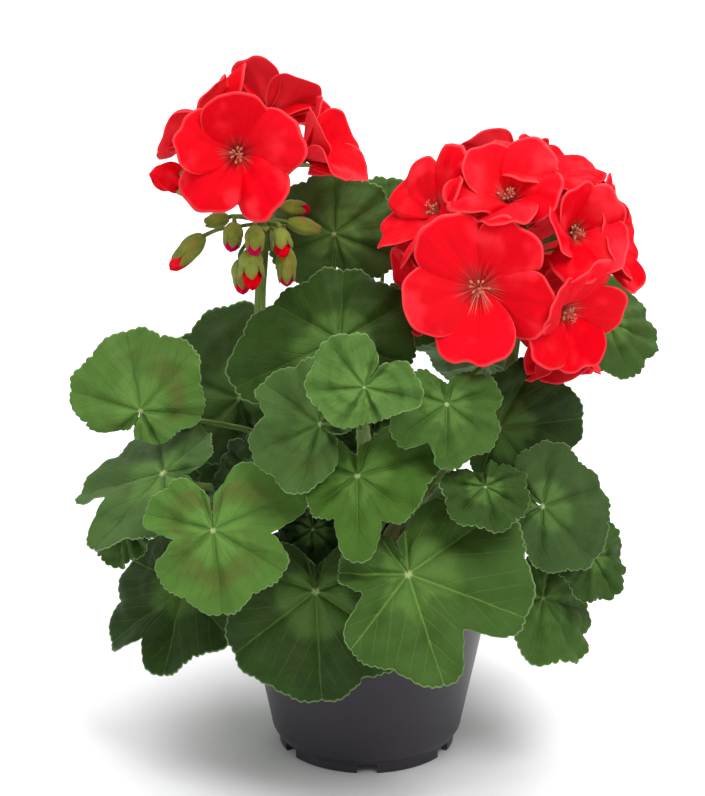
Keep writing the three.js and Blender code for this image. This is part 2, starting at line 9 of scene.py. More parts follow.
import bmesh
import bpy
import numpy as np
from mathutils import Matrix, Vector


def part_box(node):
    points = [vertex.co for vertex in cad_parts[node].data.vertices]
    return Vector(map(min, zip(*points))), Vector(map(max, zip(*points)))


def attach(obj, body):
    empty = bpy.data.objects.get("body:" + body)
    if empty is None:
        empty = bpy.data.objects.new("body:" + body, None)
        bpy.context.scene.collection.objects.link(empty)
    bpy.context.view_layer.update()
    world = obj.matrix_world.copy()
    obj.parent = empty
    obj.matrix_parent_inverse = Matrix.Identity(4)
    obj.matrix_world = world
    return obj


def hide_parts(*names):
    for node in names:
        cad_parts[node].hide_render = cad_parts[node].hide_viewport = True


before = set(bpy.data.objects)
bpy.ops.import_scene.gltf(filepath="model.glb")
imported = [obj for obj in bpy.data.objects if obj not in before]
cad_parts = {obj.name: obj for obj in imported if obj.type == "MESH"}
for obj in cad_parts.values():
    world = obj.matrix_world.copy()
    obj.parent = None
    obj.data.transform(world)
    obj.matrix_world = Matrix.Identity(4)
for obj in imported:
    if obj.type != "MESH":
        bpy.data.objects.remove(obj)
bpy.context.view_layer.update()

MM = 0.001
UP = np.array([0.0, 0.0, 1.0])
GOLDEN = math.radians(137.5)
SKEW, SIDEWAYS = (0.31, 0.52, 0.79), (0.2, 0.9, 0.3)  # directions that no leaf or flower faces

# ---- Measures of the plant's finer parts -------------------------------------------------------------------

LEAF = {
    "spokes": 25,
    "inner": 0.52,  # the solid's inner ring, as a share of the blade
    "rib_spokes": 4,  # spokes from one main rib to the next
    "lobes": 6,
    "rib_angle": math.radians(55),
    "slot": 3.0 * MM,  # nothing of the blade but its middle lies this near the middle
    "across": 288,
    "along": 22,
    "thickness": 0.55 * MM,
    "tooth": 3.5 * MM,  # width of one scallop of the margin
    "tooth_depth": 1.0 * MM,
    "tooth_round": 0.65,
    "small_lobe": 0.022,  # depth of the three small lobes of each lobe, as a share of the blade
    "crease": 0.65 * MM,  # how deep a main rib lies in the blade
    "crease_width": 0.03,
    "swell": 0.55 * MM,
    "ruffle": 2.3 * MM,
    "bulge": 0.6 * MM,
    "overlap": 0.85,  # the blade closes its slot by this many spokes on each side
    "basal": (2.6, 0.5),  # the lobes beside the slot round off over this many spokes, down to this share
    "lobe": (0.12, 0.5),  # the shallowest notch between two lobes, and how round the lobes are
}

FOOT_REACH = {"leaf": 2.7 * MM, "flower": 1.9 * MM, "stalk": 5.8 * MM, "branch": 6.6 * MM}  # of a bar's end ring

PETAL = {
    "spokes": 20,
    "count": 5,
    "throat": 2.0 * MM,  # the corners nearer to the middle than this are the throat's own
    "partner": 1.15 * MM,  # the solid's two skins are nearer than this
    "behind": 0.3 * MM,  # and the lower one lies at least this far behind
    "half_angle": math.radians(51),
    "across": 40,
    "along": 22,
    "thickness": 0.4 * MM,
    "reach": 1.03,
    "margin": (2.7, 0.95, 0.6),  # how late, how far and how roundly the margin falls off to the sides
    "notch": (0.05, 0.14),  # depth and width of the dent in the tip
    "groove": (0.02, 0.14),  # depth and width of the middle groove
}
STAMENS, STYLE_ARMS, SEPALS, BRACTS, SCALES = 8, 5, 5, 9, 6

# Each leaf's colour: how bright, how grey, how strong the brown zone, how pale the veins.
# How bright is partly painted shade: the leaves that lie low, inside or behind the plant get darker greens.
LEAF_TONES = {
    "up_left": (0.8, 0.35, 0.9, 0.3),
    "mid_left": (0.55, 0.7, 0.25, 0.2),
    "front_left": (0.86, 0.3, 1.0, 0.35),
    "small_left": (0.4, 0.3, 0.3, 0.2),
    "low_left": (0.14, 0.1, 0.15, 0.5),
    "low_centre": (0.16, 0.25, 0.15, 0.45),
    "shade_centre": (0.05, 0.2, 0.1, 0.2),
    "front_big": (0.42, 0.25, 0.15, 0.75),
    "centre": (0.55, 0.05, 0.1, 0.35),
    "centre_left": (0.5, 0.55, 0.25, 0.25),
    "young_centre": (0.85, 0.5, 0.0, 0.45),
    "young_right": (0.52, 0.3, 0.0, 0.45),
    "shade_right": (0.1, 0.1, 0.1, 0.3),
    "mid_right": (0.25, 0.2, 0.1, 0.3),
    "right": (0.32, 0.6, 0.1, 0.2),
    "low_right": (0.5, 0.35, 0.1, 0.5),
    "top_centre": (0.2, 0.0, 0.1, 0.3),
    "back_left": (0.25, 0.4, 0.25, 0.2),
    "upper_back": (0.42, 0.45, 0.15, 0.3),
    "shade_left": (0.06, 0.2, 0.1, 0.2),
    "fill_left": (0.08, 0.2, 0.1, 0.2),
    "fill_low": (0.2, 0.2, 0.1, 0.3),
    "fill_back": (0.12, 0.2, 0.1, 0.2),
    "fill_right": (0.3, 0.3, 0.1, 0.4),
}
LEAF_TONE = (0.38, 0.3, 0.4, 0.35)  # for the leaves at the back and sides


# ---- Measuring the frame -----------------------------------------------------------------------------------

def unit(v):
    """Vectors at length one."""
    v = np.asarray(v, float)
    return v / np.maximum(np.linalg.norm(v, axis=-1, keepdims=True), 1e-12)


def turns_round(facing, away):
    """The angle of each direction round a facing one."""
    first = unit(np.cross(facing, SKEW))
    return np.arctan2(away @ np.cross(facing, first), away @ first)


def across(facing, turn):
    """The direction square to a facing one at an angle round it."""
    side = unit(np.cross(facing, SIDEWAYS))
    return side * math.cos(turn) + np.cross(facing, side) * math.sin(turn)


def level_way(turn):
    """The level direction at an angle."""
    return np.array([math.cos(turn), math.sin(turn), 0.0])


class Solid:
    """
    A node's corners, merged, with a table of which corner joins which, each corner's outward normal, and the
    middle: the corner that most others join.
    """

    def __init__(self, node):
        work = bmesh.new()
        work.from_mesh(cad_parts[node].data)
        bmesh.ops.remove_doubles(work, verts=work.verts, dist=0.02 * MM)
        bmesh.ops.triangulate(work, faces=work.faces)
        work.verts.index_update()
        self.points = np.array([v.co for v in work.verts])
        self.faces = np.array([[v.index for v in face.verts] for face in work.faces])
        work.free()
        count = len(self.points)
        self.near = np.zeros((count, count), bool)
        for a, b in ((0, 1), (1, 2), (2, 0)):
            self.near[self.faces[:, a], self.faces[:, b]] = True
            self.near[self.faces[:, b], self.faces[:, a]] = True
        self.middle = int(self.near.sum(0).argmax())
        a, b, c = (self.points[self.faces[:, k]] for k in range(3))
        normals = np.zeros((count, 3))
        for k in range(3):
            np.add.at(normals, self.faces[:, k], np.cross(b - a, c - a))
        self.normals = unit(normals)

    def within(self, corner, reach):
        """Corners that lie within a distance of one corner."""
        return np.flatnonzero(np.linalg.norm(self.points - self.points[corner], axis=1) < reach)

    def stations(self, first, steps):
        """Middles of the rings of corners that follow one another from a first ring."""
        seen = np.zeros(len(self.points), bool)
        ring = np.asarray(first)
        middles = []
        for _ in range(steps):
            middles.append(self.points[ring].mean(0))
            seen[ring] = True
            ring = np.flatnonzero(self.near[ring].any(0) & ~seen)
        return np.array(middles)


def walked(near, corners):
    """Corners that join one another in a ring, in the order of a walk round it."""
    order = [int(corners[0])]
    left = set(corners.tolist()) - set(order)
    while left:
        after = [c for c in np.flatnonzero(near[order[-1]]) if c in left]
        if not after:
            raise ValueError("the ring is broken")
        order.append(int(after[0]))
        left.discard(order[-1])
    return np.array(order)


def measured_leaf(solid, spokes, least):
    """
    The upper skin of a leaf's blade: its middle, its inner ring and its outer ring, one point to a spoke. The
    rings are corners up to two joins from the middle that face its way. The spokes are counted off evenly round
    it from the widest gap, the slot. A spoke's outer point is its furthest corner, and its inner one lies nearest
    to the ring's known share of that.
    """
    near, points, middle = solid.near, solid.points, solid.middle
    facing = solid.normals[middle]
    upper = solid.normals @ facing > 0.05
    ring = near[middle] & upper
    skin = np.flatnonzero((ring | near[ring].any(0)) & upper)
    away = points[skin] - points[middle]
    far = np.linalg.norm(away, axis=1)
    skin, away, far = skin[far > least], away[far > least], far[far > least]
    turn = turns_round(facing, away)
    order = np.sort(turn)
    gaps = np.diff(np.append(order, order[0] + 2 * math.pi))
    start = order[(int(gaps.argmax()) + 1) % len(order)]
    step = LEAF["rib_angle"] / LEAF["rib_spokes"]
    spoke = (((turn - start + step / 2) % (2 * math.pi)) / step).astype(int)
    inner, outer = [], []
    for k in range(spokes):
        own = np.flatnonzero(spoke == k)
        if len(own) < 2:
            raise ValueError(f"spoke {k} of the blade has {len(own)} corners")
        reach = far[own].max()
        outer.append(skin[own[far[own].argmax()]])
        inner.append(skin[own[np.abs(far[own] - LEAF["inner"] * reach).argmin()]])
    return points[middle], points[inner], points[outer], facing


def measured_flower(solid, spokes, least):
    """
    The upper skin of a flower: its throat, its inner ring and its outer ring, one point to a spoke. The throat is
    the solid's middle, and the inner ring is what joins it. Both rings are ordered by a walk from corner to
    corner, and the outer one is rolled round until it matches the inner one's directions best.
    """
    near, points, middle = solid.near, solid.points, solid.middle
    facing = solid.normals[middle]

    def turn_of(corners):
        return turns_round(facing, points[corners] - points[middle])

    far = np.linalg.norm(points - points[middle], axis=1) > least
    ring = np.flatnonzero(near[middle] & far)
    if len(ring) != spokes:
        raise ValueError(f"the flower has {len(ring)} spokes, and {spokes} were expected")
    beyond = near[ring].any(0) & far
    beyond[ring] = False
    apart = points[np.flatnonzero(beyond)][:, None] - points[np.flatnonzero(beyond)][None]
    close = np.linalg.norm(apart, axis=2) < PETAL["partner"]
    beyond = np.flatnonzero(beyond)[~(close & (apart @ facing < -PETAL["behind"])).any(1)]
    ring, beyond = (
        way if np.sin(np.diff(turn_of(way))).sum() > 0 else way[::-1]
        for way in (walked(near, ring), walked(near, beyond))
    )
    turns = [np.cos(turn_of(ring) - turn_of(np.roll(beyond, k))).sum() for k in range(len(beyond))]
    outer = np.roll(beyond, int(np.argmax(turns)))
    return points[middle], points[ring], points[outer], facing


def measured_stalk(solid, root_reach, steps, end):
    """
    The line of a bar that ends in a blade or flower: from the ring of corners furthest from the end, ring by
    ring, and on to the end itself.
    """
    level = np.full(len(solid.points), -1)
    ring = np.array([end])
    depth = 0
    while len(ring):
        level[ring] = depth
        depth += 1
        ring = np.flatnonzero(solid.near[ring].any(0) & (level < 0))
    far = np.flatnonzero(level == level.max())
    corner = far[np.linalg.norm(solid.points[far] - solid.points[end], axis=1).argmax()]
    return solid.stations(solid.within(corner, root_reach), steps)


# ---- Surfaces ----------------------------------------------------------------------------------------------
# A finished surface is its points, its faces, where each point lies on its part, and which are on its under side.

def through(rows, x):
    """Smooth run through rows of points: at each x a Catmull-Rom blend of the four rows round it."""
    rows = np.asarray(rows, float)
    rows = np.concatenate([2 * rows[:1] - rows[1:2], rows, 2 * rows[-1:] - rows[-2:-1]])
    x = np.asarray(x, float)
    i = np.clip(np.floor(x).astype(int), 0, len(rows) - 4)
    f = (x - i).reshape(x.shape + (1,) * (rows.ndim - 1))
    a, b, c, d = (rows[i + k] for k in range(4))
    return b + 0.5 * f * (c - a + f * (2 * a - 5 * b + 4 * c - d + f * (3 * (b - c) + d - a)))


def smooth(low, high, x):
    """Soft step from 0 at low to 1 at high: 3t squared less 2t cubed."""
    t = np.clip((x - low) / (high - low), 0, 1)
    return t * t * (3 - 2 * t)


def widened(rows):
    """Rows of points with two more at either end, in line with the last two."""
    step, back = rows[:1] - rows[1:2], rows[-1:] - rows[-2:-1]
    return np.concatenate([rows[:1] + 2 * step, rows[:1] + step, rows, rows[-1:] + back, rows[-1:] + 2 * back])


def waves(x, seed, count=4, first=1.0):
    """Sum of a few sines of rising pitch and falling height, with places and pitches drawn from the seed."""
    rng = np.random.default_rng(seed)
    total = np.zeros_like(np.asarray(x, float))
    for k in range(count):
        pitch = first * (1.6 ** k) * rng.uniform(0.85, 1.15)
        total += np.sin(x * pitch + rng.uniform(0, 6.28)) / (1 + 0.7 * k)
    return total / 1.8


def grid_faces(rows, columns, wrap=False, start=0):
    """Quads of a grid of points, row by row, that joins its last column to its first when it wraps."""
    r = np.arange(rows - 1)[:, None]
    c = np.arange(columns if wrap else columns - 1)[None, :]
    n = (c + 1) % columns
    quads = [r * columns + c, r * columns + n, (r + 1) * columns + n, (r + 1) * columns + c]
    return np.stack([np.broadcast_to(q, np.broadcast_shapes(r.shape, c.shape)).ravel() for q in quads], 1) + start


def pole_faces(pole, ring, wrap=False, flip=False):
    """Triangles from one point to a row of points."""
    after = np.roll(ring, -1)
    ring, after = (ring, after) if wrap else (ring[:-1], after[:-1])
    fan = np.stack([np.full_like(ring, pole), ring, after], 1)
    return fan[:, ::-1] if flip else fan


def point_normals(points, faces):
    """Unit normal at each point: the sum of its faces' normals, each as long as the face is wide."""
    total = np.zeros_like(points)
    for block in faces:
        a, b, c = (points[block[:, k]] for k in range(3))
        across = np.cross(b - a, c - a)
        for k in range(block.shape[1]):
            np.add.at(total, block[:, k], across)
    return unit(total)


def slab(points, faces, place, thickness):
    """
    A finished surface from a sheet and a thickness: its points, and the same points moved back along their
    normals, with a wall round every edge that only one face has.
    """
    count = len(points)
    lower = points - point_normals(points, faces) * np.broadcast_to(thickness, (count,))[:, None]
    edges = np.concatenate([
        np.stack([block[:, k], block[:, (k + 1) % block.shape[1]]], 1)
        for block in faces for k in range(block.shape[1])
    ])
    rim = edges[~np.isin(edges[:, 0] * count + edges[:, 1], edges[:, 1] * count + edges[:, 0])]
    a, b = rim[:, 0], rim[:, 1]
    walls = np.stack([b, a, a + count, b + count], 1)
    faces = [*faces, *[block[:, ::-1] + count for block in faces], walls]
    return np.concatenate([points, lower]), faces, np.tile(place, (2, 1)), np.repeat([0.0, 1.0], count)


def along(path, count):
    """Evenly numbered points of a smooth line through a path, and its unit direction at each."""
    x = np.linspace(0, len(path) - 1, count)
    line = through(path, x)
    return line, unit(np.gradient(line, axis=0))


def tube(path, radius, count=24, sides=12, lobes=None):
    """
    Round skin carried along a path: at each step a circle in the plane across the path, its radius from the
    list of radii spread along the path, and a pole at each end. lobes is (how many, how deep) ridges round it.
    """
    line, way = along(np.asarray(path, float), count)
    spread = line - line.mean(0)
    plane = np.linalg.svd(spread)[2][-1] if len(line) > 2 else np.array(SKEW)
    side = unit(plane - way * (way @ plane)[:, None])
    other = np.cross(way, side)
    turn = np.linspace(0, 2 * math.pi, sides, endpoint=False)
    size = through(np.asarray(radius, float)[:, None], np.linspace(0, len(radius) - 1, count))
    if lobes:
        size = size * (1 + lobes[1] * np.cos(lobes[0] * turn)[None, :])
    size = np.broadcast_to(size, (count, sides))
    ring = side[:, None] * np.cos(turn)[None, :, None] + other[:, None] * np.sin(turn)[None, :, None]
    points = line[:, None] + ring * size[..., None]
    flat = np.concatenate([points.reshape(-1, 3), line[:1], line[-1:]])
    total = count * sides
    last = np.arange(total - sides, total)
    faces = [
        grid_faces(count, sides, wrap=True),
        np.concatenate([
            pole_faces(total, np.arange(sides), wrap=True, flip=True),
            pole_faces(total + 1, last, wrap=True),
        ]),
    ]
    place = np.zeros((len(flat), 3))
    place[:total, 0] = np.repeat(np.linspace(0, 1, count), sides)
    place[:total, 1] = np.tile(turn / (2 * math.pi), count)
    place[total + 1, 0] = 1
    return flat, faces, place, 0.0


def turned(profile, sides, lobes=None):
    """Skin of revolution about Z from a run of (radius, height), with a pole where the radius is nothing."""
    profile = np.asarray(profile, float)
    turn = np.linspace(0, 2 * math.pi, sides, endpoint=False)
    inner = profile[profile[:, 0] > 1e-6]
    radius = np.broadcast_to(inner[:, :1], (len(inner), sides))
    if lobes:
        radius = radius * (1 + lobes[1] * np.cos(lobes[0] * turn))[None, :]
    ring = np.stack([radius * np.cos(turn), radius * np.sin(turn), np.broadcast_to(inner[:, 1:], radius.shape)], -1)
    points = ring.reshape(-1, 3)
    faces = [grid_faces(len(inner), sides, wrap=True)]
    total = len(points)
    caps = []
    if profile[0, 0] < 1e-6:
        points = np.concatenate([points, [[0, 0, profile[0, 1]]]])
        caps.append(pole_faces(len(points) - 1, np.arange(sides), wrap=True, flip=True))
    if profile[-1, 0] < 1e-6:
        points = np.concatenate([points, [[0, 0, profile[-1, 1]]]])
        caps.append(pole_faces(len(points) - 1, np.arange(total - sides, total), wrap=True))
    if caps:
        faces.append(np.concatenate(caps))
    place = np.zeros((len(points), 3))
    span = np.ptp(profile[:, 1]) or 1
    place[:, 0] = (points[:, 2] - profile[:, 1].min()) / span
    place[:, 1] = np.arctan2(points[:, 1], points[:, 0]) / (2 * math.pi)
    return points, faces, place, 0.0


def aimed(surface, foot, facing, roll=0.0):
    """A surface made along +Z from the origin, turned to look in a direction and moved to a foot."""
    points, *rest = surface
    z = unit(facing)
    x = unit(np.cross(SKEW, z))
    y = np.cross(z, x)
    x, y = x * math.cos(roll) + y * math.sin(roll), y * math.cos(roll) - x * math.sin(roll)
    return foot + points[:, :1] * x + points[:, 1:2] * y + points[:, 2:3] * z, *rest


def swung(points, turn):
    """Points turned about Z, by one angle or by one angle to a point."""
    c, s = np.cos(turn), np.sin(turn)
    return np.stack([points[:, 0] * c - points[:, 1] * s, points[:, 0] * s + points[:, 1] * c, points[:, 2]], 1)


def capped(profile, count):
    """A smooth profile through a few (radius, height) rows that ends on the axis at both ends."""
    profile = through(profile, np.linspace(0, len(profile) - 1, count))
    profile[0, 0] = profile[-1, 0] = 0
    return profile


def placed(name, data):
    """A new object in the scene."""
    made = bpy.data.objects.new(name, data)
    bpy.context.scene.collection.objects.link(made)
    return made


class Piece:
    """One finished piece, gathered from several surfaces that each bring their own finish."""

    def __init__(self, name):
        self.name = name
        self.points, self.place, self.tone, self.under = [], [], [], []
        self.faces, self.slots, self.finishes = [], [], []
        self.count = 0

    def add(self, surface, finish, tone=(0.5, 0, 0, 0)):
        """Adds a surface with its finish and its colouring."""
        points, faces, place, under = surface
        n = len(points)
        if finish not in self.finishes:
            self.finishes.append(finish)
        self.points.append(points)
        self.place.append(np.broadcast_to(place, (n, 3)))
        self.tone.append(np.broadcast_to(np.asarray(tone, float), (n, 4)))
        self.under.append(np.broadcast_to(under, (n,)))
        for block in faces:
            self.faces.extend((block + self.count).tolist())
            self.slots.extend([self.finishes.index(finish)] * len(block))
        self.count += n

    def done(self, node):
        """Makes the mesh, lets it ride, and lets it stand for its node."""
        mesh = bpy.data.meshes.new(self.name)
        mesh.from_pydata(np.concatenate(self.points).tolist(), [], self.faces)
        mesh.polygons.foreach_set("material_index", self.slots)
        mesh.polygons.foreach_set("use_smooth", [True] * len(self.faces))
        for finish in self.finishes:
            mesh.materials.append(finish)
        for name, kind, key, data in (
            ("place", "FLOAT_VECTOR", "vector", self.place),
            ("tone", "FLOAT_COLOR", "color", self.tone),
            ("under", "FLOAT", "value", self.under),
        ):
            made = mesh.attributes.new(name, kind, "POINT")
            made.data.foreach_set(key, np.concatenate(data).astype(np.float32).ravel())
        mesh.update()
        piece = placed(self.name, mesh)
        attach(piece, "root")
        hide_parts(node)
        return piece


# ---- Shader maths ------------------------------------------------------------------------------------------

class Link:
    """A socket of a material. Arithmetic on it adds Math nodes, and node() adds any other node."""

    def __init__(self, tree, socket=None):
        self.tree, self.socket = tree, socket

    def node(self, kind, settings=None, inputs=None, out=0):
        """Adds a node: its settings first, then the values or links of its sockets."""
        made = self.tree.nodes.new(kind)
        for name, value in (settings or {}).items():
            if name == "stops":
                ramp = made.color_ramp.elements
                while len(ramp) < len(value):
                    ramp.new(0.5)
                for stop, (at, colour) in zip(ramp, value):
                    stop.position, stop.color = at, colour
            else:
                setattr(made, name, value)
        for name, value in (inputs or {}).items():
            if isinstance(value, Link):
                self.tree.links.new(value.socket, made.inputs[name])
            else:
                made.inputs[name].default_value = value
        return Link(self.tree, made.outputs[out])

    def math(self, operation, *values):
        return self.node("ShaderNodeMath", {"operation": operation}, dict(enumerate(values)))

    def __add__(self, other):
        return self.math("ADD", self, other)

    __radd__ = __add__

    def __mul__(self, other):
        return self.math("MULTIPLY", self, other)

    __rmul__ = __mul__

    def __sub__(self, other):
        return self.math("SUBTRACT", self, other)

    def __rsub__(self, other):
        return self.math("SUBTRACT", other, self)

    def __truediv__(self, other):
        return self.math("DIVIDE", self, other)

    def __pow__(self, other):
        return self.math("POWER", self, other)

    def __abs__(self):
        return self.math("ABSOLUTE", self)

    def step(self, low, high):
        """Soft step from 0 at low to 1 at high, or down again when high is the lower."""
        return self.node("ShaderNodeMapRange", {"interpolation_type": "SMOOTHSTEP"}, {0: self, 1: low, 2: high})

    def mixed(self, first, second):
        """The first colour where this is 0 and the second where it is 1."""
        return self.node("ShaderNodeMix", {"data_type": "RGBA"}, {0: self, 6: first, 7: second}, out=2)

    def parts(self, kind="XYZ"):
        """The three numbers of a vector, or of a colour when the kind says so."""
        split = self.node(f"ShaderNodeSeparate{kind}", None, {0: self}).socket.node
        return [Link(self.tree, out) for out in split.outputs]

    def attribute(self, name, out="Vector"):
        return self.node("ShaderNodeAttribute", {"attribute_name": name}, None, out)

    def noise(self, place, scale, detail=3.0, rough=0.55):
        values = {"Vector": place, "Scale": scale, "Detail": detail, "Roughness": rough}
        return self.node("ShaderNodeTexNoise", None, values)

    def cells(self, place, scale, feature="F1"):
        return self.node("ShaderNodeTexVoronoi", {"feature": feature}, {"Vector": place, "Scale": scale})

    def where(self):
        """Place in the frame."""
        return self.node("ShaderNodeTexCoord", None, None, "Object")

    def scaled(self, vector, by):
        return self.node("ShaderNodeVectorMath", {"operation": "MULTIPLY"}, {0: vector, 1: by})

    def joined(self, x, y, z):
        return self.node("ShaderNodeCombineXYZ", None, {0: x, 1: y, 2: z})

    def bump(self, height, distance, strength=1.0):
        return self.node("ShaderNodeBump", None, {"Height": height, "Distance": distance, "Strength": strength})


def tint(red, green, blue):
    """A colour written in the usual 0 to 255 display values, as the linear one that shaders take."""
    c = np.array([red, green, blue]) / 255
    return (*np.where(c <= 0.04045, c / 12.92, ((c + 0.055) / 1.055) ** 2.4).tolist(), 1.0)


def finish(name, paint):
    """A material: paint(link) returns the sockets of its Principled shader, constants among them."""
    made = bpy.data.materials.new(name)
    made.use_nodes = True
    tree = made.node_tree
    shader = tree.nodes["Principled BSDF"]
    for socket, value in paint(Link(tree)).items():
        if isinstance(value, Link):
            tree.links.new(value.socket, shader.inputs[socket])
        else:
            shader.inputs[socket].default_value = value
    return made


def paint_leaf(link):
    """
    Leaf green by its tone, whose brightness is partly painted shade for the leaves that lie in shade, a paler disc
    round the middle, a patchy brown zone outside it, palmate veins that fork towards the margin, and a pale line along
    the scallops. The bump follows the veins.
    """
    x, y, share = link.attribute("place").parts()
    bright, grey, zone = link.attribute("tone", "Color").parts("Color")
    vein_pale = link.attribute("tone", "Alpha")
    under = link.attribute("under", "Fac")
    where = link.where()
    radius = (x * x + y * y) ** 0.5
    rib = y.math("ARCTAN2", y, x) / LEAF["rib_angle"]
    nearest = rib.math("ROUND", rib)
    aside = abs(rib - nearest)
    wobble = link.noise(where, 160, 2.0) - 0.5
    from_rib = radius * aside * LEAF["rib_angle"] + wobble * 0.012
    main = (from_rib / (0.022 - share * 0.012)).step(1.0, 0.25)
    order = (radius - from_rib * 1.9 + nearest * 0.07 + wobble * 0.05) / 0.23
    branch = abs(order.math("FRACT", order) - 0.5)
    fork = branch.step(0.075, 0.02) * share.step(0.16, 0.3) * share.step(1.0, 0.8)
    netting = link.cells(where, 620, "DISTANCE_TO_EDGE").step(0.12, 0.0)

    mottle = link.noise(where, 95, 4.0, 0.6)
    fine = link.noise(where, 900, 3.0, 0.6)
    dark = grey.mixed(tint(18, 38, 3), tint(32, 48, 24))
    light = grey.mixed(tint(78, 120, 32), tint(86, 116, 62))
    # the tone's brightness is partly painted shade: leaves that lie in shade get darker greens
    green = (bright + (mottle - 0.5) * 0.35 + (fine - 0.5) * 0.12).mixed(dark, light)
    disc = (share + (mottle - 0.5) * 0.35).step(0.5, 0.3)
    green = (disc * 0.32).mixed(green, tint(106, 146, 66))
    band = abs(share + (mottle - 0.5) * 0.3 - 0.6).step(0.22, 0.03) * (1 - main)
    patches = link.noise(where, 38, 2.0).step(0.35, 0.7)
    green = (band * patches * zone * 0.6).mixed(green, tint(84, 78, 34))
    veins = main + fork * 0.4
    green = (veins * (1 - vein_pale) * 0.5).mixed(green, tint(22, 52, 8))
    green = (veins * vein_pale * 0.42).mixed(green, tint(128, 160, 72))
    middle = radius.step(0.05, 0.015)
    green = (middle * 0.7).mixed(green, tint(170, 186, 126))
    margin = share.step(0.98, 0.998)
    green = (margin * 0.5).mixed(green, tint(146, 176, 116))
    below = (veins * 0.5).mixed(tint(92, 122, 70), tint(150, 172, 112))
    colour = under.mixed(green, below)

    relief = fine * 0.16 + netting * -0.22 + mottle * 0.5 - main * 0.8 - fork * 0.45
    return {
        "Base Color": colour,
        "Roughness": 0.52 + fine * 0.2,
        "Normal": link.bump(relief, 0.5 * MM, 0.75),
        "Specular IOR Level": 0.14,
        "Sheen Weight": 0.03,
        "Sheen Roughness": 0.45,
        "Sheen Tint": (0.8, 0.95, 0.7, 1),
    }


def paint_petal(link):
    """
    Scarlet with fine fan-shaped veins, with painted shade darkening it towards the throat and pink streaks there, a
    soft painted highlight in patches on the outer part, a pale margin painted as an edge highlight, and a paler back
    that paints light shining through the petal. Its tone says how bright, how pale, how streaked and how cool the red
    is.
    """
    x, y, share = link.attribute("place").parts()
    bright, pale, streaks = link.attribute("tone", "Color").parts("Color")
    cool = link.attribute("tone", "Alpha")
    under = link.attribute("under", "Fac")
    where = link.where()
    angle = y.math("ARCTAN2", y, x)
    fanned = link.joined(angle * 7.0, share * 0.8, bright * 9.0)
    rays = link.noise(fanned, 2.6, 3.0, 0.6)
    soft = link.noise(where, 120, 3.0)
    red = (rays * 0.5 + soft * 0.35 + bright * 0.45 - 0.15).mixed(tint(180, 0, 8), tint(240, 0, 26))
    # painted shade: darker red towards the throat, deep inside the flower
    red = (share.step(0.42, 0.08) * 0.75).mixed(red, tint(120, 0, 16))
    red = cool.mixed(red, tint(186, 0, 66))
    lines = link.noise(link.joined(angle * 16.0, 0.0, bright * 5.0), 2.2, 2.0).step(0.5, 0.68)
    near = share.step(0.42, 0.12)
    red = (lines * near * streaks).mixed(red, tint(255, 176, 150))
    # painted highlight: paler coral patches on the outer part of the petal; the tone's pale adds each petal's own
    # paleness
    painted_highlight = link.noise(where, 60, 2.0).step(0.5, 0.72) * share.step(0.3, 0.9)
    red = (painted_highlight * 0.45 + pale * 0.8).mixed(red, tint(255, 62, 72))
    # painted highlight along the margin
    red = (share.step(0.95, 0.995) * 0.45).mixed(red, tint(255, 92, 98))
    # painted light: the back is paler coral, as if lit through the petal
    back = (under * 0.6).mixed(red, tint(252, 58, 72))
    relief = rays * 0.7 + link.noise(where, 1400, 2.0) * 0.12
    return {
        "Base Color": back,
        "Roughness": 0.52 + rays * 0.16,
        "Normal": link.bump(relief, 0.35 * MM, 0.6),
        "Specular IOR Level": 0.02,
        "Sheen Weight": 0.012,
        "Sheen Roughness": 0.35,
        "Sheen Tint": (1, 0.15, 0.2, 1),
    }


def paint_stalk(link):
    """Yellow-green skin with fine ridges along it, a reddish blush in places, and a bloom of pale hairs."""
    lengthwise, round_it, _ = link.attribute("place").parts()
    bright = link.attribute("tone", "Fac")
    where = link.where()
    ridges = link.noise(link.joined(round_it * 26.0, lengthwise * 3.0, 0.0), 1.6, 2.0)
    mottle = link.noise(where, 190, 3.0)
    hairs = link.noise(where, 2600, 2.0, 0.8)
    green = (mottle * 0.7 + bright - 0.35).mixed(tint(70, 96, 22), tint(124, 150, 58))
    green = (ridges.step(0.4, 0.7) * 0.3).mixed(green, tint(168, 190, 116))
    green = (hairs.step(0.55, 0.8) * 0.25).mixed(green, tint(190, 206, 146))
    return {
        "Base Color": green,
        "Roughness": 0.55 + hairs * 0.25,
        "Normal": link.bump(ridges * 0.7 + hairs * 0.4, 0.4 * MM, 0.7),
        "Specular IOR Level": 0.25,
        "Sheen Weight": 0.14,
        "Sheen Roughness": 0.4,
        "Sheen Tint": (0.92, 1, 0.82, 1),
    }


def paint_bark(link):
    """Stem skin that is green above and turns brown and corky towards the ground."""
    where = link.where()
    _, _, height = where.parts()
    mottle = link.noise(where, 130, 4.0, 0.6)
    cork = link.noise(link.scaled(where, (1.0, 1.0, 0.25)), 700, 4.0, 0.7)
    age = (height + (mottle - 0.5) * 0.05).step(0.135, 0.085)
    green = mottle.mixed(tint(84, 112, 46), tint(128, 152, 78))
    brown = cork.mixed(tint(70, 54, 34), tint(134, 112, 74))
    return {
        "Base Color": age.mixed(green, brown),
        "Roughness": 0.6 + cork * 0.3,
        "Normal": link.bump(cork + mottle * 0.4, 0.8 * MM, 0.8),
        "Specular IOR Level": 0.3,
        "Sheen Weight": 0.25,
        "Sheen Tint": (0.9, 1, 0.8, 1),
    }


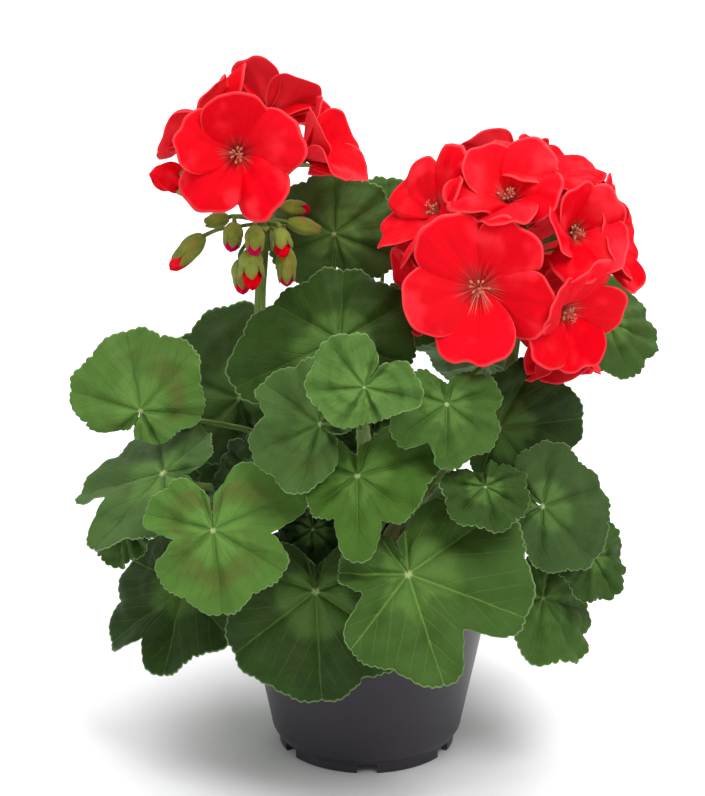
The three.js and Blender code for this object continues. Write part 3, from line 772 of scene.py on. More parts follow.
def paint_sepal(link):
    """Olive-green bud skin with darker ribs, a reddish flush towards the tip, and pale hairs."""
    tip, round_it, _ = link.attribute("place").parts()
    where = link.where()
    mottle = link.noise(where, 260, 3.0)
    hairs = link.noise(where, 2800, 2.0, 0.8)
    ribs = link.noise(link.joined(round_it * 20.0, tip * 1.2, 0.0), 1.7, 2.0)
    flush = link.noise(where, 130, 2.0).step(0.45, 0.65)
    green = mottle.mixed(tint(76, 98, 20), tint(144, 156, 50))
    green = (ribs.step(0.5, 0.75) * 0.4).mixed(green, tint(52, 74, 22))
    green = (flush * 0.35).mixed(green, tint(142, 96, 36))
    green = (tip.step(0.55, 1.0) * mottle.step(0.3, 0.6) * 0.45).mixed(green, tint(140, 64, 40))
    green = (hairs.step(0.58, 0.8) * 0.25).mixed(green, tint(196, 202, 140))
    return {
        "Base Color": green,
        "Roughness": 0.55 + hairs * 0.25,
        "Normal": link.bump(ribs * 0.6 + hairs * 0.4, 0.4 * MM, 0.7),
        "Specular IOR Level": 0.3,
        "Sheen Weight": 0.14,
        "Sheen Tint": (0.95, 1, 0.8, 1),
    }


def paint_filament(link):
    """Dark red filaments that pale towards the tan anthers."""
    tip, _, _ = link.attribute("place").parts()
    grain = link.noise(link.where(), 1500, 2.0)
    colour = tip.step(0.2, 0.9).mixed(tint(150, 14, 26), tint(212, 110, 88))
    return {"Base Color": (grain * 0.3).mixed(colour, tint(236, 170, 130)), "Roughness": 0.6}


def paint_anther(link):
    """Tan grains of pollen."""
    grain = link.noise(link.where(), 2400, 3.0)
    return {
        "Base Color": grain.mixed(tint(128, 74, 48), tint(206, 158, 112)),
        "Roughness": 0.8,
        "Normal": link.bump(grain, 0.2 * MM, 0.8),
    }


def paint_pot(link):
    """Dark grey plastic with a lilac cast, a fine moulded grain, faint lines round it and dust low down."""
    where = link.where()
    _, _, height = where.parts()
    grain = link.noise(where, 2600, 3.0, 0.6)
    cloud = link.noise(where, 28, 3.0)
    lines = link.noise(link.scaled(where, (2.0, 2.0, 340.0)), 3.0, 2.0)
    colour = (cloud * 0.8 + grain * 0.2).mixed(tint(34, 31, 38), tint(48, 44, 54))
    dust = height.step(0.02, 0.0) * cloud.step(0.45, 0.7)
    return {
        "Base Color": (dust * 0.25).mixed(colour, tint(92, 84, 84)),
        "Roughness": 0.34 + cloud * 0.12 + grain * 0.06,
        "Normal": link.bump(grain * 0.5 + lines * 0.5, 0.12 * MM, 0.5),
        "Specular IOR Level": 0.42,
    }


def paint_mix(link):
    """Dark crumbs of peat with paler fibres."""
    where = link.where()
    crumbs = link.cells(where, 420)
    fibres = link.noise(link.scaled(where, (1.0, 0.3, 1.0)), 900, 4.0, 0.7)
    damp = link.noise(where, 40, 3.0)
    earth = (crumbs * 0.8 + damp * 0.5 - 0.1).mixed(tint(28, 19, 13), tint(76, 54, 38))
    return {
        "Base Color": (fibres.step(0.6, 0.75) * 0.5).mixed(earth, tint(132, 104, 74)),
        "Roughness": 0.85 + damp * 0.15,
        "Normal": link.bump(crumbs + fibres * 0.5, 1.5 * MM, 0.9),
        "Specular IOR Level": 0.2,
    }


def paint_crumb(link):
    """Bits of bark, peat and perlite: the tone says which."""
    white = link.attribute("tone", "Fac")
    where = link.where()
    grain = link.noise(where, 1500, 4.0, 0.7)
    bark = grain.mixed(tint(44, 28, 18), tint(118, 84, 54))
    stone = grain.mixed(tint(196, 190, 178), tint(238, 235, 226))
    return {
        "Base Color": white.step(0.6, 0.7).mixed(bark, stone),
        "Roughness": 0.75 + grain * 0.2,
        "Normal": link.bump(grain, 0.6 * MM, 0.9),
    }


LEAF_SKIN = finish("leaf_skin", paint_leaf)
PETAL_SILK = finish("petal_silk", paint_petal)
STALK_SKIN = finish("stalk_skin", paint_stalk)
STEM_BARK = finish("stem_bark", paint_bark)
SEPAL_SKIN = finish("sepal_skin", paint_sepal)
FILAMENT = finish("filament", paint_filament)
ANTHER = finish("anther", paint_anther)
POT_PLASTIC = finish("pot_plastic", paint_pot)
POTTING_MIX = finish("potting_mix", paint_mix)
CRUMBS = finish("mix_crumbs", paint_crumb)


# ---- Leaves ------------------------------------------------------------------------------------------------

def leaf_blade(middle, inner, outer, facing, seed):
    """
    The blade as a fan: spoke s runs round it and t runs out along each spoke. A point is the parabola through
    the middle, the inner ring and the outer ring at s. The margin's reach is a power of a cosine between the ribs,
    which makes rounded lobes as deep as the solid's notches or the least depth, rounds off beside the slot, and is
    scalloped. The blade sinks along the main ribs, swells between them and ruffles towards the margin.
    """
    last, per_rib, lobes = LEAF["spokes"] - 1, LEAF["rib_spokes"], LEAF["lobes"]
    s = np.linspace(-LEAF["overlap"], last + LEAF["overlap"], LEAF["across"] + 1)
    t = np.linspace(0, 1, LEAF["along"] + 1)[1:, None] ** 0.9
    near, far = through(widened(inner), s + 2), through(widened(outer), s + 2)
    length = np.linalg.norm(outer[last // 2] - middle)
    spoke = np.linalg.norm(outer - middle, axis=1) / length
    old = np.linalg.norm(far - middle, axis=1) / length
    rib = s / per_rib
    level = through(spoke[::per_rib][:, None], np.clip(rib, 0, lobes))[:, 0]
    between = np.arange(lobes) * per_rib + per_rib // 2
    least_deep, rounded = LEAF["lobe"]
    cut = np.maximum(1 - spoke[between] / np.interp(between, s, level), least_deep)
    cut = cut[np.clip(np.floor(rib), 0, lobes - 1).astype(int)] * (1 + 0.2 * waves(s, seed + 5, 2, 0.7))
    reach = level * (1 - cut * (1 - np.abs(np.cos(math.pi * np.clip(rib, 0, lobes))) ** (rounded + cut)))
    basal, least = LEAF["basal"]
    edge = np.minimum(s, last - s) + LEAF["overlap"]
    reach = reach * (least + (1 - least) * smooth(0, basal, edge) ** 0.7)
    near = middle + (near - middle) * (reach / old)[:, None]
    far = middle + (far - middle) * (reach / old)[:, None]
    teeth = max(2, round(LEAF["rib_angle"] * length / LEAF["tooth"] * 0.95))
    phase = rib * teeth + 0.16 * waves(s, seed + 1, 3, 0.9)
    scallop = np.abs(np.sin(math.pi * phase)) ** LEAF["tooth_round"]
    depth = LEAF["tooth_depth"] / length * (1 + 0.45 * waves(s, seed + 2, 3, 1.7))
    lobing = LEAF["small_lobe"] * (np.abs(np.sin(math.pi * rib * 3)) - 0.6)
    share = 1 + (depth * (scallop - 0.75) / np.maximum(reach, 0.4) + lobing)[None, :] * t ** 3
    share = share * t
    i = LEAF["inner"]
    w0 = (share - i) * (share - 1) / i
    w1 = share * (share - 1) / (i * (i - 1))
    w2 = share * (share - i) / (1 - i)
    points = middle * w0[..., None] + near * w1[..., None] + far * w2[..., None]
    angle = (s - last / 2) * LEAF["rib_angle"] / per_rib
    radius = share * reach[None, :]
    aside = np.abs(rib - np.round(rib)) * LEAF["rib_angle"] * radius
    crease = -LEAF["crease"] * np.exp(-((aside / LEAF["crease_width"]) ** 2))
    crease = crease * smooth(1.05, 0.5, t) * smooth(0, 0.15, t)
    swell = LEAF["swell"] * np.cos(2 * math.pi * (rib * 2 + 0.5)) * smooth(0.1, 0.6, t)
    ruffle = LEAF["ruffle"] * t ** 2.5 * waves(s, seed + 3, 5, 0.8)[None, :]
    bulges = LEAF["bulge"] * waves(radius * 14 + s, seed + 4, 3, 1.0) * smooth(0.05, 0.4, t)
    columns = len(s)
    flat = np.concatenate([points.reshape(-1, 3), [middle]])
    faces = [
        grid_faces(len(t), columns)[:, ::-1],
        pole_faces(len(flat) - 1, np.arange(columns)),
    ]
    if point_normals(flat, faces)[-1] @ facing < 0:
        faces = [block[:, ::-1] for block in faces]
    lift = (crease + swell + ruffle + bulges).ravel()
    flat[:-1] += point_normals(flat, faces)[:-1] * lift[:, None]
    place = np.stack([radius * np.cos(angle), radius * np.sin(angle), np.broadcast_to(t, radius.shape)], -1)
    place = np.concatenate([place.reshape(-1, 3), [[0, 0, 0]]])
    return slab(flat, faces, place, LEAF["thickness"]), length


def grow_leaf(node, seed):
    """A leaf: its blade, and its stalk with a swollen foot."""
    solid = Solid(node)
    middle, inner, outer, facing = measured_leaf(solid, LEAF["spokes"], LEAF["slot"])
    piece = Piece(f"{node}_grown")
    blade, length = leaf_blade(middle, inner, outer, facing, seed)
    piece.add(blade, LEAF_SKIN, LEAF_TONES.get(node.removeprefix("leaf_"), LEAF_TONE))
    line = measured_stalk(solid, FOOT_REACH["leaf"], 4, solid.middle)
    line = np.concatenate([line, [middle - facing * 0.5 * MM]])
    thick = 1.25 * MM if length > 30 * MM else 1.0 * MM
    radii = thick * np.array([1.35, 1.02, 1, 0.95, 0.95, 1.1, 0.6])
    piece.add(tube(line, radii, 40, 12), STALK_SKIN, (0.45, 0, 0, 0))
    piece.done(node)


# ---- Flowers -----------------------------------------------------------------------------------------------

def petal_sheet(throat, mid, tip, left, right, facing, style, rng):
    """
    A petal as a fan from the throat: an angle runs across it and a share runs out. The margin's reach falls off
    as a rounded power of the angle. Its height follows the parabola through the solid's inner and outer ring,
    bowed across, twisted so that one side lies over the next petal, curled at the tip and rippled.
    """
    first = tip - throat
    length = np.linalg.norm(first) * PETAL["reach"] * style["long"]
    first = unit(first)
    second = unit(left - right)
    second = unit(second - first * (second @ first))
    third = np.cross(first, second)
    if third @ facing < 0:
        third, second = -third, -second
    half = PETAL["half_angle"] * style["wide"]
    angle = np.linspace(-half, half, PETAL["across"] + 1)[None, :]
    share = np.linspace(0, 1, PETAL["along"] + 1)[1:, None]
    late, fall, rounded = PETAL["margin"]
    reach = (1 - np.abs(angle / half) ** late * fall) ** rounded
    deep, wide = PETAL["notch"]
    reach = reach * (1 - deep * np.exp(-(((angle - rng.uniform(-0.1, 0.1)) / wide) ** 2)) * rng.uniform(0, 1.5))
    reach = reach * (1 + 0.028 * waves(angle * 8, rng.integers(1e6), 3))
    x = share * reach * np.cos(angle)
    y = share * reach * np.sin(angle)
    bow = ((mid - throat) @ third) / np.linalg.norm(tip - throat)
    height = 4 * bow * x * (1 - x)
    height = height + style["bowl"] * (y ** 2) * smooth(0, 0.5, share)
    height = height + style["twist"] * y * smooth(0, 0.4, share)
    height = height + style["lift"] * share - style["curl"] * share ** 4
    height = height + style["ripple"] * share ** 1.5 * waves(angle * 5 + share * 2, rng.integers(1e6), 4)
    height = height + 0.012 * waves(x * 6 + y * 5, rng.integers(1e6), 3) * smooth(0.1, 0.5, share)
    deep, wide = PETAL["groove"]
    height = height - deep * np.exp(-((angle / wide) ** 2)) * smooth(0.05, 0.3, share) * smooth(0.95, 0.5, share)
    points = throat + length * (x[..., None] * first + y[..., None] * second + height[..., None] * third)
    flat = np.concatenate([points.reshape(-1, 3), [throat]])
    columns = angle.shape[1]
    faces = [grid_faces(len(share), columns)[:, ::-1], pole_faces(len(flat) - 1, np.arange(columns))]
    if point_normals(flat, faces)[len(share) // 2 * columns + columns // 2] @ facing < 0:
        faces = [block[:, ::-1] for block in faces]
    place = np.stack([share * np.cos(angle), share * np.sin(angle), share * np.ones_like(angle)], -1)
    place = np.concatenate([place.reshape(-1, 3), [[0, 0, 0]]])
    return slab(flat, faces, place, PETAL["thickness"])


def add_stamens(piece, throat, facing, size, rng):
    """A tuft of curved filaments with anthers, and a style with five curled arms."""
    for k in range(STAMENS):
        out = across(facing, k * GOLDEN)
        lean = rng.uniform(0.25, 0.6)
        tall = rng.uniform(0.17, 0.26) * size
        end = throat + facing * tall + out * tall * lean
        path = [throat + out * 0.4 * MM, throat + facing * tall * 0.5 + out * tall * lean * 0.3, end]
        piece.add(tube(path, [0.32 * MM, 0.24 * MM, 0.18 * MM], 7, 5), FILAMENT)
        grain = np.array([(0, -0.9), (0.45, -0.6), (0.55, 0), (0.45, 0.6), (0, 0.9)]) * MM
        piece.add(aimed(turned(grain, 8), end, unit(out + facing * 0.3)), ANTHER)
    top = throat + facing * size * 0.3 - across(facing, 0) * size * 0.06
    path = [throat, throat + facing * size * 0.15, top]
    piece.add(tube(path, [0.4 * MM, 0.36 * MM, 0.36 * MM], 8, 6), FILAMENT)
    for k in range(STYLE_ARMS):
        out = across(facing, 2 * math.pi * k / STYLE_ARMS)
        path = [top, top + (facing + out * 0.8) * 0.9 * MM, top + (facing * 0.9 + out * 2.0) * 0.9 * MM]
        piece.add(tube(path, [0.3 * MM, 0.24 * MM, 0.12 * MM], 6, 5), FILAMENT)


def leaflet(foot, facing, outward, length, width, bend):
    """A pointed scale: a strip whose half width is a sine of the way along it, bent outwards by a parabola."""
    rows, columns = 10, 7
    side = unit(np.cross(facing, outward))
    outward = unit(outward - unit(facing) * (outward @ unit(facing)))
    t = np.linspace(0, 1, rows)[:, None]
    w = np.linspace(-1, 1, columns)[None, :]
    half = width / 2 * np.sin(math.pi * np.clip(t * 0.9 + 0.1, 0, 1)) ** 0.8
    out = bend * length * t ** 2 + 0.25 * half * (1 - w ** 2)
    points = foot + facing * (length * t)[..., None] + outward * out[..., None] + side * (half * w)[..., None]
    faces = [grid_faces(rows, columns)]
    flat = points.reshape(-1, 3)
    if point_normals(flat, faces)[rows // 2 * columns - columns // 2 - 1] @ outward < 0:
        faces = [faces[0][:, ::-1]]
    place = np.stack(np.broadcast_arrays(t, w * 0.5, 0.0), -1)
    return slab(flat, faces, place.reshape(-1, 3), 0.35 * MM)


def add_calyx(piece, throat, facing):
    """Five hairy pointed sepals behind a flower, pressed back by its petals."""
    back = throat - facing * 5.0 * MM
    for k in range(SEPALS):
        out = across(facing, 2 * math.pi * (k + 0.5) / SEPALS)
        piece.add(leaflet(back + out * MM, unit(facing + out * 0.35), out, 9 * MM, 3.2 * MM, 0.3), SEPAL_SKIN)


# How a flower's petals differ from the usual ones: each is the middle of what its five petals draw from.
FLOWER_STYLE = {"reach": 1, "bowl": 0.3, "twist": 0.16, "curl": 0.14, "ripple": 0.036}
FLOWER_STYLES = {
    "right_front": {"bowl": 0.12, "twist": 0.1, "curl": 0.06, "ripple": 0.015, "reach": 1.05},
    "right_top_front": {"ripple": 0.06, "bowl": 0.7, "curl": 0.2},
    "right_top": {"ripple": 0.05, "bowl": 0.5, "curl": 0.2},
    "right_low": {"ripple": 0.05, "bowl": 0.6},
    "left_side": {"ripple": 0.05, "bowl": 0.7},
}


def grow_flower(node, seed):
    """An open flower: five overlapping petals, stamens, calyx and its thin hairy stalk."""
    rng = np.random.default_rng(seed)
    solid = Solid(node)
    throat, inner, outer, facing = measured_flower(solid, PETAL["spokes"], PETAL["throat"])
    size = np.linalg.norm(outer - throat, axis=1)
    per_petal = PETAL["spokes"] // PETAL["count"]
    shift = int(np.argmax([size[k::per_petal].sum() for k in range(per_petal)]))
    inner, outer = np.roll(inner, -shift, axis=0), np.roll(outer, -shift, axis=0)
    facing = unit(np.cross(outer[per_petal] - outer[0], outer[2 * per_petal] - outer[per_petal]))
    piece = Piece(f"{node}_grown")
    style = FLOWER_STYLE | FLOWER_STYLES.get(node.removeprefix("flower_"), {})
    for s in range(0, PETAL["spokes"], per_petal):
        own = {
            "long": style["reach"] * rng.uniform(0.96, 1.05),
            "wide": rng.uniform(0.93, 1.07),
            "bowl": style["bowl"] * rng.uniform(0.2, 1.8),
            "twist": style["twist"] * rng.uniform(0.7, 1.4),
            "curl": style["curl"] * rng.uniform(0.2, 2.0),
            "lift": 0.1 * rng.uniform(-1, 1),
            "ripple": style["ripple"] * rng.uniform(0.7, 1.5),
        }
        petal = petal_sheet(throat, inner[s], outer[s], outer[s + 1], outer[s - 1], facing, own, rng)
        tone = (rng.uniform(0.1, 1), rng.uniform(0, 0.14), rng.uniform(0.2, 1), 0)
        piece.add(petal, PETAL_SILK, tone)
    add_stamens(piece, throat, facing, size.max(), rng)
    add_calyx(piece, throat, facing)
    line = measured_stalk(solid, FOOT_REACH["flower"], 3, solid.middle)
    line = np.concatenate([line, [throat - facing * 6 * MM, throat - facing * 1 * MM]])
    radii = np.array([0.9, 0.75, 0.75, 1.0, 1.6, 1.4]) * MM
    piece.add(tube(line, radii, 26, 10), STALK_SKIN, (0.6, 0, 0, 0))
    piece.done(node)


# ---- Buds, stalks and stems --------------------------------------------------------------------------------

# A bud's solid has this many sides, and the first ring behind its tip has these shares of its length and radius.
# The bud is drawn fuller than its many-sided solid.
BUD_SIDES, BUD_RING, BUD_FULLER = 7, (0.25, 0.75), 1.2
# How much of a bud's petals shows, and for the young ones, from left to right, how cool their red is as well.
BUD_STYLES = {"half_open": 0.75, "long_left": 0.3, "front": 0.42}
YOUNG_STYLES = [(0, 0), (0.24, 1), (0.3, 0.4), (0.24, 1), (0, 0), (0.38, 0), (0.16, 1), (0.25, 0.4), (0, 0)]


def add_bud(piece, foot, facing, size, radius, shown, cool, rng):
    """A ribbed skin of five joined sepals that part at the tip over rolled red petals."""
    green = 1 - shown * 0.75
    long = size * green
    sepals = capped([(0, 0), (0.36, 0.02), (0.62, 0.1), (0.9, 0.28), (1, 0.48), (0.86, 0.7), (0.5, 0.9), (0, 1.0)], 30)
    sepals = turned(np.maximum(sepals * [radius, long], 0), 30, (5, 0.08))
    piece.add(aimed(sepals, foot, facing, rng.uniform(0, 6)), SEPAL_SKIN)
    reach = long * (0.62 if shown < 0.5 else 0.75)
    lean = 0.26 if shown < 0.15 else 0.08 if shown < 0.35 else -0.12
    for k in range(SEPALS):
        out = across(facing, 2 * math.pi * k / SEPALS)
        start = foot + facing * long * 0.42 + out * radius * 0.86
        flat, faces, place, under = leaflet(start, unit(facing - out * lean), out, reach, radius * 1.15, 0.05)
        piece.add((flat, faces, place * [0.6, 1, 1] + [0.4, 0, 0], under), SEPAL_SKIN)
    if shown:
        wide = radius * (1.0 if shown < 0.5 else 1.25)
        roll = capped([(0, 0), (0.5, 0.05), (0.72, 0.35), (0.74, 0.6), (0.5, 0.85), (0, 1.0)], 22)
        roll = roll * [wide, size * (1.02 - green * 0.45)]
        points, faces, place, under = turned(np.maximum(roll, 0), 36, (5, 0.12))
        points = swung(points, points[:, 2] / size * 3.0)
        place = np.stack([0.6 + 0 * place[:, 0], place[:, 1] * 2, 0.5 + 0.4 * place[:, 0]], 1)
        roll = aimed((points, faces, place, under), foot + facing * long * 0.45, facing)
        piece.add(roll, PETAL_SILK, (0.5, 0, 0, cool))


def measured_bud(solid, tip):
    """A bud's foot, direction, length and radius, from the corner at its tip and the rings behind that."""
    rings = solid.stations([tip], 4)
    facing = unit(rings[0] - rings[3])
    size = np.linalg.norm(rings[0] - rings[1]) / BUD_RING[0]
    radius = np.linalg.norm(solid.points[solid.near[tip]] - rings[1], axis=1).mean() / BUD_RING[1]
    return rings[0] - facing * size, facing, size, radius * BUD_FULLER


def bud_tips(solid):
    """Corners that a bud's number of sides meets at, all as long, from left to right."""
    tips = []
    for corner in np.flatnonzero(solid.near.sum(0) == BUD_SIDES):
        ring = np.linalg.norm(solid.points[solid.near[corner]] - solid.points[corner], axis=1)
        if ring.max() < ring.min() * 1.02:
            tips.append(int(corner))
    return sorted(tips, key=lambda tip: solid.points[tip, 0])


def grow_bud(node, seed):
    """A bud on its thin stalk."""
    solid = Solid(node)
    tip = max(bud_tips(solid), key=lambda corner: np.linalg.norm(solid.points[corner] - HUBS["left"]))
    foot, facing, size, radius = measured_bud(solid, tip)
    piece = Piece(f"{node}_grown")
    shown = BUD_STYLES[node.removeprefix("bud_")]
    add_bud(piece, foot, facing, size, radius, shown, 0.0, np.random.default_rng(seed))
    line = measured_stalk(solid, FOOT_REACH["flower"], 3, tip)
    line = np.concatenate([line, [foot + facing * 0.6 * MM]])
    piece.add(tube(line, np.array([0.9, 0.8, 0.85, 1.0]) * MM, 20, 10), STALK_SKIN, (0.55, 0, 0, 0))
    piece.done(node)


def hub_middle(head):
    """
    Middle of a head: the thin stalks of its flowers all start at one distance from it, so it is the middle of
    the ball that fits their feet best, by least squares.
    """
    feet = []
    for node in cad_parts:
        if node.startswith(f"flower_{head}"):
            solid = Solid(node)
            feet.append(measured_stalk(solid, FOOT_REACH["flower"], 1, solid.middle)[0])
    feet = np.array(feet)
    across = 2 * (feet[1:] - feet[0])
    further = (feet[1:] ** 2).sum(1) - (feet[0] ** 2).sum()
    return np.linalg.lstsq(across, further, rcond=None)[0]


HUBS = {head: hub_middle(head) for head in ("left", "right")}


def grow_stalk(head):
    """
    A long hairy flower stalk, a little swollen at its foot, with a cap and a ring of bracts under the flowers, and
    the young buds that the solid carries.
    """
    node = f"flower_stalk_{head}"
    solid = Solid(node)
    hub = HUBS[head]
    line = solid.stations(solid.within(int(solid.points[:, 2].argmin()), FOOT_REACH["stalk"]), 6)
    line = np.concatenate([line, [hub]])
    piece = Piece(f"{node}_grown")
    radii = np.array([2.9, 2.65, 2.55, 2.5, 2.5, 2.45, 2.7]) * MM
    piece.add(tube(line, radii, 70, 20, (9, 0.012)), STALK_SKIN, (0.35, 0, 0, 0))
    cap = np.array([(0, -3.4), (2.2, -3.0), (3.1, -1.6), (3.4, 0.2), (3.0, 2.0), (1.7, 3.2), (0, 3.5)]) * MM
    points, *rest = turned(cap, 22, (7, 0.05))
    piece.add((points + hub, *rest), STALK_SKIN, (0.4, 0, 0, 0))
    for k in range(BRACTS):
        out = level_way(k * GOLDEN)
        way = unit(out * 0.9 + UP * (0.15 - 0.5 * (k % 2)))
        piece.add(leaflet(hub + out * 2.4 * MM - UP * 1.2 * MM, way, -UP, 8.5 * MM, 4.0 * MM, 0.18), SEPAL_SKIN)
    for k, tip in enumerate(bud_tips(solid)):
        foot, facing, size, radius = measured_bud(solid, tip)
        shown, cool = YOUNG_STYLES[k % len(YOUNG_STYLES)]
        add_bud(piece, foot, facing, size, radius, shown, cool, np.random.default_rng(700 + k))
        reach = np.linalg.norm(foot - hub)
        rise = hub + unit(unit(foot - hub) + UP * 0.2) * reach * 0.45
        path = [hub, rise, foot - facing * reach * 0.15, foot + facing * MM]
        piece.add(tube(path, np.array([0.9, 0.85, 0.9, 1.1]) * MM, 18, 10), STALK_SKIN, (0.55, 0, 0, 0))
    piece.done(node)


def grow_stems():
    """
    The woody stem and its branches. Each branch is a line of rings from its tip down into the crown, thickened at
    knuckles, and the ones that bear no flower stalk end in a tuft of young scales.
    """
    solid = Solid("stems")
    points = solid.points
    piece = Piece("stems_grown")
    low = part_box("stems")[0].z
    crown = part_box("potting_mix")[1].z + 6 * MM
    sides = {"left": -points[:, 0], "right": points[:, 0], "back": points[:, 1], "front": -points[:, 1]}
    for k, (name, out) in enumerate(sides.items()):
        corners = np.flatnonzero(out > 20 * MM)
        tip = int(corners[points[corners, 2].argmax()])
        line = solid.stations(solid.within(tip, FOOT_REACH["branch"]), 6)[::-1]
        line = np.concatenate([[UP * (crown - 8 * MM)], line[1:]])
        skin, faces, place, under = tube(line, np.array([4.2, 3.7, 3.4, 3.2, 3.1, 3.0]) * MM, 90, 18)
        step = place[:, 0] * 9 + k * 0.37
        knuckle = 1 + 0.14 * np.exp(-(((step % 1) - 0.5) / 0.09) ** 2)
        axis = through(line, place[:, 0] * (len(line) - 1))
        piece.add((axis + (skin - axis) * knuckle[:, None], faces, place, under), STEM_BARK)
        if name in ("back", "front"):
            way = unit(line[-1] - line[-2])
            for j in range(SCALES):
                out = level_way(j * GOLDEN)
                piece.add(leaflet(line[-1], unit(way + out * 0.35), out, 9 * MM, 5 * MM, 0.1), SEPAL_SKIN)
    stump = capped([
        (0, low), (4.2 * MM, low), (4.3 * MM, low + 20 * MM), (4.6 * MM, crown - 8 * MM), (5.2 * MM, crown - 3 * MM),
        (4.2 * MM, crown + 1.5 * MM), (0, crown + 3 * MM),
    ], 40)
    piece.add(turned(np.maximum(stump, [0, low]), 24, (5, 0.06)), STEM_BARK)
    piece.done("stems")


# ---- Pot and potting mix -----------------------------------------------------------------------------------

# lip is its height and step its overhang; bend is the radius of the lower corner; drain is a hole's radius.
POT = {
    "wall": 1.4 * MM, "floor": 1.6 * MM, "lip": 9 * MM, "step": 1.3 * MM, "bend": 7 * MM,
    "feet": 6, "drain": 3.2 * MM, "drain_at": 24 * MM,
}


def grow_pot():
    """
    The pot, turned from one closed profile: rounded lip, tapered wall, rounded lower corner, foot ring, floor
    and middle pad. Notches between the feet and drain holes are cut out of it.
    """
    rim, _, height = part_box("pot")[1]
    solid = Solid("pot")
    radius = np.linalg.norm(solid.points[:, :2], axis=1)
    level = solid.points[:, 2]
    at_ground = np.abs(level) < 0.05 * MM
    foot_out = radius[at_ground].max()
    pad = radius[at_ground & (radius < foot_out * 0.6)].max()
    foot_top = level[(radius < foot_out * 1.08) & (level > 1 * MM)].min()
    base = radius[np.abs(level - foot_top) < 0.05 * MM].max()
    top_out = rim - POT["step"]
    wall, step, bend = POT["wall"], POT["step"], POT["bend"]
    under_lip = height - POT["lip"]
    floor_top = foot_top + POT["floor"]

    def wall_at(z):
        return base + (top_out - base) * (z - foot_top) / (height - foot_top)

    turn = np.radians(np.linspace(-90, 0, 9)[1:])
    low_corner = np.stack([
        wall_at(foot_top + bend) - bend + bend * np.cos(turn), foot_top + bend + bend * np.sin(turn),
    ], 1)
    foot_in = foot_out - 3 * MM
    profile = [
        (0, 0), (pad - 0.6 * MM, 0), (pad, 0.3 * MM), (pad + 1.6 * MM, foot_top),
        (foot_in - 0.4 * MM, foot_top), (foot_in, foot_top - 0.4 * MM), (foot_in, 0.4 * MM), (foot_in + 0.4 * MM, 0),
        (foot_out - 0.6 * MM, 0), (foot_out, 0.6 * MM), (foot_out, foot_top - 0.3 * MM),
        (foot_out + 0.3 * MM, foot_top), *low_corner[low_corner[:, 0] > foot_out + 0.4 * MM],
        (wall_at(under_lip) - 0.1 * MM, under_lip - 0.6 * MM), (wall_at(under_lip) + 0.2 * MM, under_lip - 0.1 * MM),
        (wall_at(under_lip) + step - 0.4 * MM, under_lip), (wall_at(under_lip) + step, under_lip + 0.5 * MM),
        (rim - 0.15 * MM, height - 0.9 * MM), (rim - 0.35 * MM, height - 0.3 * MM), (rim - 0.9 * MM, height),
        (top_out - wall + 0.6 * MM, height), (top_out - wall + 0.1 * MM, height - 0.4 * MM),
        (wall_at(foot_top + bend + 2 * MM) - wall, foot_top + bend + 2 * MM),
        (wall_at(floor_top) - wall - 3 * MM, floor_top + 1.0 * MM), (wall_at(floor_top) - wall - 6 * MM, floor_top),
        (0, floor_top),
    ]
    piece = Piece("pot_moulded")
    piece.add(turned(profile, 144), POT_PLASTIC)
    pot = piece.done("pot")

    block = np.array([[x, y, z] for x in (-1, 1) for y in (-1, 1) for z in (-1, 1)])
    block = block * [4.5 * MM, 4.5 * MM, foot_top - 0.2 * MM]
    sides = np.array([[0, 1, 3, 2], [4, 6, 7, 5], [0, 4, 5, 1], [2, 3, 7, 6], [0, 2, 6, 4], [1, 5, 7, 3]])
    drain, below, above = POT["drain"], foot_top - 2 * MM, foot_top + 4 * MM
    rod = turned([(0, below), (drain, below), (drain, above), (0, above)], 28)
    points, polygons = [], []
    for k in range(POT["feet"]):
        for (shape, faces, *_), at, lag in (((block, [sides]), foot_out - 1.5 * MM, 0), (rod, POT["drain_at"], 0.5)):
            turn = 2 * math.pi * (k + lag) / POT["feet"]
            for quads in faces:
                polygons.extend((quads + len(points)).tolist())
            points.extend((swung(shape, turn) + level_way(turn - math.pi / 2) * at).tolist())
    mesh = bpy.data.meshes.new("cutter")
    mesh.from_pydata(points, [], polygons)
    cutter = placed("cutter", mesh)
    cut = pot.modifiers.new("cut", "BOOLEAN")
    cut.operation, cut.solver, cut.object = "DIFFERENCE", "EXACT", cutter
    bpy.context.view_layer.update()
    shape = bpy.data.meshes.new_from_object(pot.evaluated_get(bpy.context.evaluated_depsgraph_get()))
    pot.modifiers.clear()
    pot.data = shape
    bpy.data.objects.remove(cutter)
    shape.set_sharp_from_angle(angle=math.radians(35))


